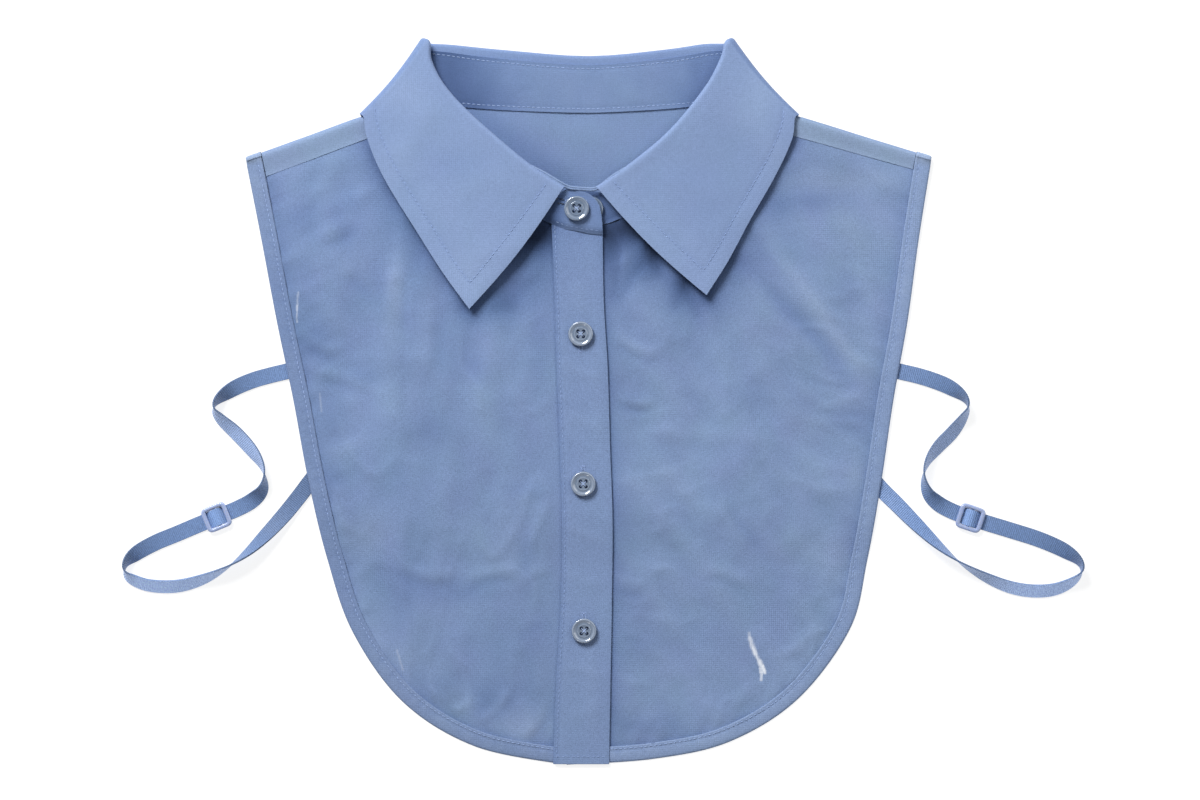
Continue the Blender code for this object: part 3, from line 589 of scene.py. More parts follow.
# The pattern lines that the cut pieces share: outlines, the collar's roll and edge, the shoulder
# folds and seams, and how high each layer lies over the table.
WALL = 1.0  # a layer with its turnings, as the part has it
LAYER = WALL + GAP
FRONT_LIFT = WALL + 0.5
EDGING = 8.0
TUCKED_IN = EDGING - 1.2  # a panel's raw edge lies this far inside the edging's outer edge
ROLL = 1.6  # radius of the fall where it turns over
SEAM_IN = 5.0  # how far the fall turns under before it meets the stand
SHOULDER_PUFF = 1.2  # how far the cloth stands off where it wraps the shoulder
HEM_SHARE = 0.70  # the share of an edge line where the side becomes the hem
HEM_OF_BACK = 1.0  # y of the back bib's hem
EDGE_LEFT = [
    (-171.6, 122.4), (-163.5, 80.9), (-155.8, 40.0), (-147.6, 0.9), (-140.2, -38.8),
    (-130.5, -79.5), (-117.6, -116.0), (-92.5, -149.8), (-57.0, -171.6), (-14.0, -180.6),
]
EDGE_RIGHT = [
    (171.7, 122.9), (165.1, 80.9), (159.5, 40.0), (152.5, 0.9), (146.6, -38.8), (139.5, -79.5),
    (130.8, -113.9), (105.0, -148.4), (70.6, -169.4), (32.3, -178.0), (-11.0, -180.9),
]
BACK_EDGE_LEFT = [(-171.6, 122.4), (-157.5, 80.0), (-147.5, 40.0), (-138.5, HEM_OF_BACK)]
BACK_EDGE_RIGHT = [(171.7, 122.9), (159.0, 80.0), (150.5, 40.0), (142.5, HEM_OF_BACK)]
# left x, left y, right x, right y
PLACKET = [
    (-18.6, 90.2, 7.1, 86.9), (-16.9, 51.0, 7.7, 51.0), (-15.9, 16.0, 9.7, 16.0),
    (-14.3, -24.0, 10.9, -24.0), (-13.3, -59.0, 12.1, -59.0), (-13.8, -99.0, 11.8, -99.0),
    (-16.1, -139.0, 11.1, -139.0), (-17.7, -181.4, 10.4, -181.4),
]
# roll x, roll y, edge x, edge y, reach of the neck seam, heights at roll, edge and seam, turn
COLLAR = [
    (-12.2, 107.0, -59.5, 46.4, 19.5, 9.2, 6.2, 3.8, 0),
    (-28.1, 117.2, -73.0, 65.0, 23.5, 9.8, 5.6, 2.1, 0),
    (-43.4, 129.6, -86.0, 85.5, 27.0, 10.0, 5.2, 2.4, 0),
    (-61.5, 145.9, -98.5, 105.5, 30.0, 9.8, 5.4, 3.3, 0),
    (-72.5, 158.5, -106.3, 120.5, 32.0, 9.6, 6.0, 3.3, 0),
    (-78.3, 170.0, -111.0, 134.0, 33.5, 9.5, 6.4, 3.3, 0),
    *[(-79.2, 178.9, -112.0, 141.7, 34.0, 9.4, 6.5, 3.3, turn) for turn in (0, 60, 120, 180)],
    (-68.0, 178.2, -97.0, 137.0, 33.0, 9.4, 6.5, 3.3, 180),
    (-42.0, 175.6, -52.0, 128.0, 30.0, 9.4, 6.5, 3.3, 180),
    (0.0, 172.6, 0.0, 126.0, 28.0, 9.4, 6.5, 3.3, 180),
    (38.0, 175.8, 48.0, 128.0, 29.5, 9.4, 6.5, 3.3, 180),
    (57.5, 178.6, 85.0, 135.5, 32.0, 9.4, 6.5, 3.3, 180),
    *[(68.2, 178.9, 102.9, 141.3, 34.0, 9.4, 6.5, 3.3, turn) for turn in (180, 120, 60, 0)],
    (66.0, 171.0, 101.5, 131.0, 33.5, 9.5, 6.4, 3.3, 0),
    (58.5, 157.0, 93.5, 113.4, 32.0, 9.6, 5.6, 3.3, 0),
    (41.5, 136.1, 80.5, 90.5, 29.0, 9.4, 5.2, 2.8, 0),
    (22.8, 120.1, 69.5, 70.0, 25.0, 8.4, 5.6, 2.0, 0),
    (4.0, 107.1, 58.9, 53.3, 20.5, 6.4, 6.0, 1.8, 0),
]
FIRST_TURN = 6
LAST_TURN = 18
LAST_ROW = len(COLLAR) - 1
T_LEFT_BACK = (FIRST_TURN + 3) / LAST_ROW
T_RIGHT_BACK = (LAST_TURN - 3) / LAST_ROW
SEAM_LEFT = [(-97.8, 136.4), (-161.4, 112.8)]
SEAM_RIGHT = [(84.8, 137.8), (162.4, 116.4)]
FOLD_LEFT = [(-102.5, 145.6), (-116.0, 142.2), (-163.8, 125.0)]
FOLD_RIGHT = [(92.8, 145.4), (106.5, 142.7), (164.0, 125.1)]


def share_at_height(rows, y, distance, side):
    """Where along an outline its inset line passes a height, found by halving."""
    low, high = 0.0, 0.3
    for halving in range(30):
        middle = (low + high) / 2.0
        if inset(rows, middle, distance, side)[1] > y:
            low = middle
        else:
            high = middle
    return low


def back_level(x, y):
    """Underside of the back bib: on the table, and over the fall behind the neck."""
    return LAYER * smooth((y - 104.0) / 18.0) * smooth((140.0 - abs(x)) / 20.0)


def front_level(x, y):
    """Underside of a front: one layer up over the back bib and the elastics."""
    return back_level(x, y) + FRONT_LIFT * smooth((y + 84.0) / 30.0)


def coons(top, bottom, inner, outer, u, w):
    """Point of a four-sided patch; w runs from bottom to top and u from inner to outer."""
    (tx, ty), (bx, by), (ix, iy), (ox, oy) = top(u), bottom(u), inner(w), outer(w)
    corners = [bottom(0.0), bottom(1.0), top(0.0), top(1.0)]
    shares = [(1 - u) * (1 - w), u * (1 - w), (1 - u) * w, u * w]
    cx, cy = (sum(share * corner[k] for share, corner in zip(shares, corners)) for k in (0, 1))
    return (w * tx + (1 - w) * bx + (1 - u) * ix + u * ox - cx,
            w * ty + (1 - w) * by + (1 - u) * iy + u * oy - cy)


def collar_frame(t):
    """Roll point, direction to the outer edge, length, outward side and the row's other values."""
    rx, ry, ex, ey, reach, roll_z, edge_z, seam_z, turn = row_at(COLLAR, t)
    length = math.hypot(ex - rx, ey - ry)
    gx, gy = (ex - rx) / length, (ey - ry) / length
    outward = (gy, -gx) if t < 0.5 else (-gy, gx)
    return rx, ry, gx, gy, length, outward, reach, roll_z, edge_z, seam_z, math.radians(turn)


def lay_round(x, y, front_z, back_z, drop, outward, turn):
    """Carry a point of the top layer round the side fold to the layer underneath."""
    radius = (front_z - back_z) / 2.0 - drop
    middle = (front_z + back_z) / 2.0
    swing = radius * math.sin(turn)
    return x + outward[0] * swing, y + outward[1] * swing, middle + radius * math.cos(turn)


def neck_point(t, beyond):
    """A point of the neck seam's line, moved away from the neck by a distance."""
    rx, ry, gx, gy, length, outward, reach = collar_frame(t)[:7]
    return rx + gx * (reach + beyond), ry + gy * (reach + beyond)


def polyline(points, t):
    """A point on straight runs between points, t from 0 to 1 by length."""
    runs = [math.dist(a, b) for a, b in zip(points, points[1:])]
    left = t * sum(runs)
    for a, b, run in zip(points, points[1:], runs):
        if left <= run or b is points[-1]:
            break
        left -= run
    return between(a, b, min(left / run, 1.0))


def picked(points, t):
    """A point between evenly counted points, t from 0 to 1."""
    place = t * (len(points) - 1)
    k = min(int(place + 1e-6), len(points) - 2)
    return between(points[k], points[k + 1], place - k)


def ripple(x, y, size, seed):
    """Smooth unevenness from -1 to 1 with features of a size in millimetres."""
    return mathutils.noise.noise(mathutils.Vector((x / size, y / size, seed)))


def creases(table_rows, x, y):
    """Height and tone of the creases at a point: start x, y, end x, y, bow, half width, height,
    tone. The tone is painted light on a ridge and painted shade in a trough."""
    height = tone = 0.0
    for x0, y0, x1, y1, bow, half, rise, shade in table_rows:
        dx, dy = x1 - x0, y1 - y0
        run = math.hypot(dx, dy)
        share = ((x - x0) * dx + (y - y0) * dy) / run / run
        if not -0.4 < share < 1.4:
            continue
        across = ((x - x0) * dy - (y - y0) * dx) / run - bow * 4.0 * share * (1.0 - share)
        width = half * 1.15 if across > 0.0 else half * 0.8
        if abs(across) > 3.0 * width:
            continue
        ends = smooth(share * 2.5 + 0.4) * smooth((1.0 - share) * 2.5 + 0.4)
        bell = ends * hump(across, width)
        height += rise * bell
        tone += shade * bell
    return height, tone


def cloud_tone(rows, x, y):
    """Tone of the soft clouds at a point, uneven cloth and painted shade and light: middle x, y,
    half width, half height, tone.
    """
    return sum(
        tone * math.exp(-((x - cx) / wide) ** 2 - ((y - cy) / tall) ** 2)
        for cx, cy, wide, tall, tone in rows
    )


def to_line(x, y, start, end):
    """Distance from a point to a stretch of line, and the share of it where it is nearest."""
    dx, dy = end[0] - start[0], end[1] - start[1]
    share = ((x - start[0]) * dx + (y - start[1]) * dy) / (dx * dx + dy * dy)
    share = min(max(share, 0.0), 1.0)
    return math.hypot(x - start[0] - dx * share, y - start[1] - dy * share), share


trees = {}  # the surfaces that stitches are laid on


def keep_surface(name, shape):
    """Remember a cloth surface before its bmesh becomes a piece."""
    trees[name] = mathutils.bvhtree.BVHTree.FromBMesh(shape)


# Back bib: one short panel of shirting that lies underneath and comes forward over the shoulders
# to the seams with the fronts; its neck edge is sewn into the stand.
PANEL_WALL = 0.5
PANEL_SOFT = 0.15
SHOULDER_COLUMNS = 5
NECK_COLUMNS = 12
BODY_ROWS = 12
WRAP_ROWS = 5
LIT_LEFT = 0.22  # tone of the shoulders, which face the light
LIT_RIGHT = 0.30
ROLL_SHADE = 0.22
BACK_CREASES = [
    (-60, 60, -30, 20, 3, 7, 0.35, 0.03), (20, 80, 70, 30, -4, 8, 0.3, 0.03),
    (-110, 90, -90, 30, 2, 7, 0.3, 0.02), (100, 100, 118, 40, 3, 8, 0.35, 0.02),
    (-20, 138, 25, 132, 1, 6, 0.25, 0.02), (-6, 128, 14, 112, 2, 7, -0.25, -0.02),
]


def shoulder(fold, seam, side, share):
    """Bottom of the shoulder fold at a share of its length, outward side, radius, seam point."""
    x, y = polyline(fold, share)
    end_x, end_y = fold[-1][0] - fold[0][0], fold[-1][1] - fold[0][1]
    run = math.hypot(end_x, end_y)
    outward = (side * end_y / run, -side * end_x / run)
    radius = (LAYER + SHOULDER_PUFF) / 2.0
    reach = radius + WALL / 2.0
    return (x - outward[0] * reach, y - outward[1] * reach), outward, radius, polyline(seam, share)


def wrap_shoulder(base, outward, radius, seam, step):
    """A point of the cloth over the shoulder: three steps round the fold, then two to the seam."""
    if step <= 3.0:
        x, y = base
        turn = math.radians(60.0 * step)
        swing = radius * math.sin(turn)
        z = back_level(x, y) + WALL / 2.0 + radius - radius * math.cos(turn)
        return x + outward[0] * swing, y + outward[1] * swing, z
    share = (step - 3.0) / 2.0
    x, y = between(base, seam, share)
    return x, y, front_level(x, y) + WALL / 2.0 + SHOULDER_PUFF * (1.0 - smooth(share))


def back_bib():
    """The panel, dense enough to take its creases."""
    finer = 4  # rows and columns of points for each pattern one
    neck = []
    for k in range(1, NECK_COLUMNS):
        neck.append(neck_point(T_LEFT_BACK + (T_RIGHT_BACK - T_LEFT_BACK) * k / NECK_COLUMNS, -1.6))
    neck.insert(0, shoulder(FOLD_LEFT, SEAM_LEFT, 1, 0.0)[0])
    neck.append(shoulder(FOLD_RIGHT, SEAM_RIGHT, -1, 0.0)[0])
    columns = 2 * SHOULDER_COLUMNS + NECK_COLUMNS

    def shoulder_at(u):
        step = u * columns
        if step < SHOULDER_COLUMNS + 0.01:
            return shoulder(FOLD_LEFT, SEAM_LEFT, 1, max(1.0 - step / SHOULDER_COLUMNS, 0.0))
        if step > SHOULDER_COLUMNS + NECK_COLUMNS - 0.01:
            share = (step - SHOULDER_COLUMNS - NECK_COLUMNS) / SHOULDER_COLUMNS
            return shoulder(FOLD_RIGHT, SEAM_RIGHT, -1, min(max(share, 0.0), 1.0))
        return None

    def top(u):
        if shoulder_at(u):
            return shoulder_at(u)[0]
        return picked(neck, (u * columns - SHOULDER_COLUMNS) / NECK_COLUMNS)

    def bottom(u):
        return between(inner(0.0), outer(0.0), u)[0], HEM_OF_BACK

    def side_line(edge, fold, seam, side, w):
        corner = shoulder(fold, seam, side, 1.0)[0]
        return between(inset(edge, 1.0 - w, TUCKED_IN, side), corner, smooth((w - 0.9) * 10.0))

    def inner(w):
        return side_line(BACK_EDGE_LEFT, FOLD_LEFT, SEAM_LEFT, 1, w)

    def outer(w):
        return side_line(BACK_EDGE_RIGHT, FOLD_RIGHT, SEAM_RIGHT, -1, w)

    def place(u, w):
        row = w * (BODY_ROWS + WRAP_ROWS)
        if row > BODY_ROWS + 0.01:
            here = shoulder_at(u)
            if not here:
                return None
            x, y, z = wrap_shoulder(*here, row - BODY_ROWS)
            bright = (LIT_LEFT if x < 0.0 else LIT_RIGHT) * smooth((row - BODY_ROWS - 1.5) / 1.5)
            wave = 0.12 * ripple(x, y, 9.0, 4.0)
            return x, y, z + wave * smooth(row - BODY_ROWS - 3.0), bright
        x, y = coons(top, bottom, inner, outer, u, row / BODY_ROWS)
        calm = smooth(u * 8.0) * smooth((1.0 - u) * 8.0) * smooth(w * 10.0)
        rise, tone = creases(BACK_CREASES, x, y)
        away = to_line(x, y, COLLAR[3][:2], COLLAR[0][:2])[0]
        tone -= ROLL_SHADE * hump(away, 9.0)
        wave = 0.25 * ripple(x, y, 26.0, 3.0) + 0.08 * ripple(x, y, 8.0, 5.0)
        z = back_level(x, y) + 0.45 + max(rise + wave, -0.1) * calm
        return x, y, z, tone

    shape = sheet(columns * finer, (BODY_ROWS + WRAP_ROWS) * finer, place)
    finish = cotton("back_shirting", (0.172, 0.250, 0.428), streak=0.4)
    piece = add_piece("back_bib", shape, [finish], "back_panel")
    wall(piece, PANEL_WALL, PANEL_SOFT)


back_bib()

# Fronts: two panels of shirting, creased from folding and washing. The right one has the scuffed
# white mark near its hem, and the left one a few faint pale rubs.
NECK_START_LEFT = [(-15.0, 86.6), (-18.6, 88.3)]
NECK_START_RIGHT = [(-13.2, 88.0), (0.0, 88.0), (8.0, 88.4), (14.4, 90.3)]
FRONT_WIDE = 140.0
FRONT_LONG = 260.0
PRESSED = 0.40  # share of a crease's height that pressing leaves
DARKEST = -0.84
TUCK_LEFT = 3.6
TUCK_RIGHT = 5.4
LEFT_CREASES = [
    (-95, 82, -102, -32, -3, 9, 0.9, 0.03), (-80, 70, -83, 16, 2, 6, 0.45, 0.03),
    (-88, 60, -93, -20, 1, 5, -0.35, -0.03), (-69, 44, -66, 6, 2, 6, -0.3, -0.03),
    (-134, 118, -118, 52, 3, 7, 0.8, 0.05), (-118, 112, -106, 70, -2, 5, 0.6, 0.04),
    (-146, 104, -132, 60, 2, 6, 0.5, 0.03), (-127, 100, -114, 58, 0, 4, -0.5, -0.04),
    (-104, -60, -60, -140, 6, 9, 0.8, 0.03), (-50, 40, -34, -100, 4, 8, 0.6, 0.03),
    (-40, -20, -22, -60, 2, 6, 0.4, 0.02), (-120, 20, -112, -60, -3, 6, 0.5, 0.03),
    (-76, -130, -60, -146, 4, 5, 0.7, 0.04), (-110, -84, -88, -110, -3, 9, -0.6, -0.05),
    (-28, 56, -24, 4, -1, 5, -0.4, -0.03), (-48, -142, -20, -158, 2, 5, 0.5, 0.03),
    (-30, -128, -22, -166, 1, 4, -0.4, -0.03), (-64, 18, -44, -30, -4, 5, 0.4, 0.03),
    (-134, 40, -122, -10, 2, 5, -0.35, -0.03), (-60, -60, -30, -90, 3, 7, 0.45, 0.03),
    (-90, -70, -70, -84, 2, 5, 0.35, 0.02), (-54, 88, -46, 56, 1, 5, 0.4, 0.03),
    (-69, -156, -57, -147, 1, 2.6, 0.8, 0.06), (-56, -161, -40, -145, 2, 2.6, 0.9, 0.07),
    (-52, -160, -37, -146, 2, 2.2, -0.7, -0.07), (-35, -171, -21, -150, 2, 2.8, 0.9, 0.06),
    (-31, -172, -18, -152, 2, 2.2, -0.7, -0.06), (-24, -172, -18, -157, 1, 2.0, 0.7, 0.05),
    (-143, 36, -125, 26, 2, 3.0, 0.7, 0.05), (-143, 31, -127, 21, 2, 2.6, -0.7, -0.06),
    (-137, 15, -112, 9, -2, 3.2, 0.6, 0.04), (-136, 9, -114, 4, -2, 2.6, -0.5, -0.05),
    (-131, -26, -111, -16, 2, 3.4, 0.6, 0.05), (-98, 68, -101, 30, 1, 3.6, 0.8, 0.06),
    (-90, 66, -92, 34, 1, 3.0, -0.7, -0.06), (-76, 60, -80, 16, 1, 3.0, 0.6, 0.04),
    (-71, 50, -73, 14, 1, 3.0, -0.5, -0.04), (-100, -84, -62, -90, 5, 3.4, -0.6, -0.06),
    (-96, -78, -64, -84, 5, 3.2, 0.6, 0.05), (-66, -92, -36, -84, -3, 3.0, 0.6, 0.05),
    (-64, -97, -38, -90, -3, 2.6, -0.6, -0.05), (-134, 84, -118, 96, 2, 3.4, 0.7, 0.05),
    (-132, 78, -116, 88, 2, 3.0, -0.6, -0.06), (-124, 62, -108, 50, -2, 3.2, -0.6, -0.06),
    (-22, 62, -40, 42, 3, 3.4, -0.6, -0.05), (-20, 48, -34, 30, 2, 3.4, 0.5, 0.04),
    (-128, -50, -116, -66, 2, 3.0, 0.6, 0.04), (-20, -44, -36, -52, 2, 3.0, 0.5, 0.04),
    (-19, -84, -34, -92, 2, 2.6, 0.5, 0.04), (-18, -112, -36, -120, 2, 2.6, -0.5, -0.05),
]
RIGHT_CREASES = [
    (84, 88, 122, 34, -2, 6, 1.1, 0.06), (122, 34, 141, 10, 0, 6, 0.7, 0.05),
    (80, 74, 132, 16, 2, 5, -0.7, -0.06), (106, 114, 138, 82, 2, 7, 0.7, 0.04),
    (20, -16, 96, -20, -2, 4, 0.3, 0.03), (24, -23, 90, -26, -2, 4, -0.2, -0.02),
    (104, 8, 138, 2, 1, 4, 0.5, 0.04), (102, -8, 136, -14, -1, 3, 0.4, 0.03),
    (106, -24, 134, -36, 2, 4, 0.5, 0.04), (110, -2, 138, -6, 1, 3, -0.35, -0.04),
    (50, -34, 66, -60, 2, 6, 0.5, 0.03), (86, -78, 108, -58, 3, 6, 0.5, 0.03),
    (12, 32, 38, 26, 2, 3, 0.45, 0.04), (12, 4, 34, -1, -1, 3, 0.4, 0.04),
    (14, -37, 36, -44, 2, 3, 0.4, 0.04), (14, -78, 40, -84, 1, 3, 0.4, 0.03),
    (13, -118, 38, -127, 2, 3, 0.4, 0.03), (24, 78, 46, 8, 4, 7, 0.6, 0.03),
    (60, 30, 66, -20, -3, 7, 0.4, 0.03), (56, -66, 92, -128, 5, 8, 0.6, 0.03),
    (30, -80, 44, -150, 3, 7, 0.5, 0.03), (126, 62, 140, 34, 2, 5, -0.4, -0.04),
    (130, -50, 112, -104, -3, 6, 0.5, 0.03), (40, 84, 62, 40, -2, 5, -0.4, -0.03),
    (48, 6, 96, 22, 3, 6, 0.35, 0.02), (70, -150, 100, -128, 3, 5, 0.4, 0.03),
    (16, 84, 12, 52, -1, 2.6, -0.7, -0.08), (26, 80, 33, 58, 1, 2.8, 0.6, 0.06),
    (33, 78, 42, 56, 1, 2.6, -0.7, -0.07), (47, 62, 57, 40, 1, 3.0, -0.7, -0.08),
    (53, 60, 63, 38, 1, 3.0, 0.7, 0.07), (72, 67, 96, 42, -2, 3.2, 0.8, 0.06),
    (96, 42, 116, 22, -1, 3.0, 0.7, 0.05), (82, 82, 108, 54, 2, 3.4, -0.8, -0.07),
    (110, -4, 141, 8, 2, 2.8, 0.6, 0.05), (120, -10, 143, -15, 1, 2.6, -0.7, -0.06),
    (14, 3, 31, -1, 1, 2.2, 0.7, 0.06), (14, -1, 30, -5, 1, 2.0, -0.6, -0.06),
    (14, -38, 52, -30, 3, 3.2, 0.5, 0.04), (70, -50, 86, -73, 2, 2.8, -0.6, -0.06),
    (66, -47, 82, -72, 2, 2.8, 0.5, 0.04), (12, -92, 27, -98, 1, 2.2, -0.7, -0.07),
    (12, -86, 28, -91, 1, 2.2, 0.6, 0.05), (92, -128, 114, -112, 3, 3.2, 0.6, 0.05),
    (58, -84, 84, -94, -3, 3.2, 0.5, 0.04), (58, -89, 82, -99, -3, 2.8, -0.5, -0.05),
    (13, -134, 26, -142, 1, 2.2, 0.6, 0.05), (134, 70, 146, 50, 1, 3.0, 0.5, 0.04),
    (128, 66, 141, 44, 1, 3.0, -0.5, -0.05), (100, -36, 130, -44, 3, 3.0, 0.5, 0.04),
    (14, 36, 34, 24, 2, 2.6, 0.6, 0.05), (14, 30, 34, 19, 2, 2.2, -0.6, -0.05),
    (31, 80, 13, 50, -1, 4.2, -0.6, -0.14), (49, 62, 43, 44, 1, 4.0, -0.5, -0.10),
    (91, 75, 139, 12, -2, 4.6, 0.3, 0.10), (85, 60, 133, 6, -2, 4.8, -0.3, -0.10),
]
# soft clouds of tone, partly uneven cloth and partly painted shade and light, deepest beside the
# collar: x, y, width, height, amount
LEFT_TONE_AND_SHADE = [
    (-112, 82, 14, 16, -0.06), (-130, 94, 14, 12, -0.06), (-117, 57, 12, 16, -0.08),
    (-97, 62, 6, 22, 0.06), (-88, 48, 6, 22, -0.05), (-36, 58, 20, 18, -0.18),
    (-24, 74, 12, 16, -0.18), (-22, 84, 9, 10, -0.50), (-50, 46, 10, 8, -0.10),
    (-128, 20, 18, 12, -0.06), (-100, 0, 14, 10, 0.05), (-82, -13, 16, 8, -0.06),
    (-52, 5, 20, 14, 0.03), (-25, -20, 10, 22, 0.02), (-92, -86, 14, 20, -0.10),
    (-52, -70, 26, 16, 0.04), (-107, -112, 14, 12, -0.05), (-57, -92, 16, 5, -0.07),
    (-46, -147, 18, 9, -0.11), (-74, -108, 10, 8, 0.03), (-114, -42, 9, 18, -0.05),
    (-121, -27, 5, 12, 0.04), (-104, 98, 12, 16, -0.05), (-142, 62, 10, 26, -0.05),
    (-92, 84, 10, 14, -0.08), (-40, -122, 22, 12, -0.05), (-66, 24, 9, 12, -0.05),
    (-22, 30, 8, 20, -0.06), (-145, 91, 9, 9, -0.13), (-118, 101, 6, 8, -0.10),
    (-138, 33, 9, 10, -0.15), (-103, 54, 4, 17, -0.10), (-95, 52, 4, 18, 0.09),
    (-117, 68, 7, 10, 0.13), (-56, 16, 6, 9, -0.11), (-114, 13, 9, 4, -0.09),
    (-130, -8, 8, 10, -0.07), (-127, -38, 6, 6, -0.13), (-96, -34, 6, 14, -0.07),
    (-110, -65, 14, 12, 0.14), (-70, -97, 22, 4, -0.06), (-109, -114, 12, 16, 0.13),
    (-92, -128, 12, 8, 0.09), (-72, -141, 6, 6, -0.09), (-53, -153, 4, 7, -0.09),
    (-45, 51, 9, 8, -0.26), (-84, 68, 6, 12, -0.10), (-34, -164, 15, 9, 0.17),
    (-62, -151, 5, 6, 0.10), (-31, -77, 4, 12, -0.10), (-30, -44, 11, 4, -0.07),
]
RIGHT_TONE_AND_SHADE = [
    (34, 66, 26, 18, -0.22), (112, 101, 18, 6, -0.17), (19, 86, 12, 9, -0.42),
    (10, 80, 5, 16, -0.34), (31, 74, 5, 9, -0.28), (48, 58, 8, 10, -0.30), (39, 64, 5, 9, 0.10),
    (60, 48, 16, 9, -0.10), (94, 52, 13, 9, 0.02), (97, 78, 11, 14, -0.06), (80, 70, 10, 10, -0.10),
    (130, 92, 18, 18, 0.04), (150, 55, 8, 20, -0.02), (130, -10, 13, 6, -0.06),
    (38, -40, 20, 12, 0.04), (112, -38, 16, 10, 0.04), (94, -92, 15, 14, -0.04),
    (110, -74, 14, 9, 0.05), (22, -105, 12, 18, -0.05), (48, -138, 20, 12, 0.03),
    (114, -122, 12, 10, 0.04), (130, -50, 9, 9, -0.02), (44, 30, 20, 14, -0.06),
    (76, 6, 26, 10, -0.04), (66, -70, 16, 16, -0.03), (26, 8, 10, 14, -0.04),
    (140, 24, 8, 12, 0.07), (110, 106, 20, 8, 0.04), (29, 66, 9, 6, -0.20), (74, 66, 6, 10, -0.12),
    (96, 97, 7, 7, -0.15), (138, 111, 34, 6, 0.10), (146, 84, 14, 26, 0.07), (136, 42, 8, 10, 0.08),
    (134, -38, 5, 11, 0.10), (137, -100, 6, 15, 0.13), (110, -14, 13, 8, 0.05),
    (22, 2, 8, 3, -0.08), (26, -122, 10, 8, -0.08), (52, -120, 10, 10, -0.05),
    (30, -163, 18, 6, -0.13), (64, -46, 8, 6, -0.05), (120, -80, 12, 12, 0.06),
]
SCUFFS = [
    (80.4, -115.8, 81.2, -120.0, 1.2, 0.26), (80.9, -118.6, 83.4, -126.0, 2.0, 0.40),
    (82.6, -123.6, 86.0, -131.2, 1.6, 0.46), (81.3, -121.0, 84.6, -128.8, 0.9, 0.34),
    (85.8, -130.2, 87.5, -134.4, 1.8, 0.66), (87.3, -132.4, 88.3, -135.9, 1.2, 0.75),
    (85.9, -133.8, 86.2, -135.4, 1.1, 0.7), (86.9, -135.2, 86.4, -139.3, 1.1, 0.55),
]
RUBS = [
    (-145.3, 54.7, -146.0, 46.0, 0.9, 0.2), (-145.8, 48.0, -145.9, 39.9, 0.7, 0.28),
    (-134.5, 4.0, -133.6, -4.8, 0.8, 0.12), (-96.0, -124.5, -93.1, -134.0, 0.9, 0.12),
]


def leaf_shade(x, y, rows):
    """How much darker the cloth is beside a leaf: deepest beside the middle of its front edge."""
    away, share = to_line(x, y, rows[0][:2], rows[0][2:4])
    wide = 11.0 - 5.0 * share
    deep = 0.12 + 0.38 * hump(share - 0.42, 0.30)
    outer = min(to_line(x, y, a[2:4], b[2:4])[0] for a, b in zip(rows, rows[1:]))
    return deep * math.exp(-((away / wide) ** 1.4)) + 0.40 * falling(outer, 5.5)


def placket_at(y):
    """The placket's row at a height."""
    return row_at(PLACKET, (PLACKET[0][1] - y) / (PLACKET[0][1] - PLACKET[-1][1]))


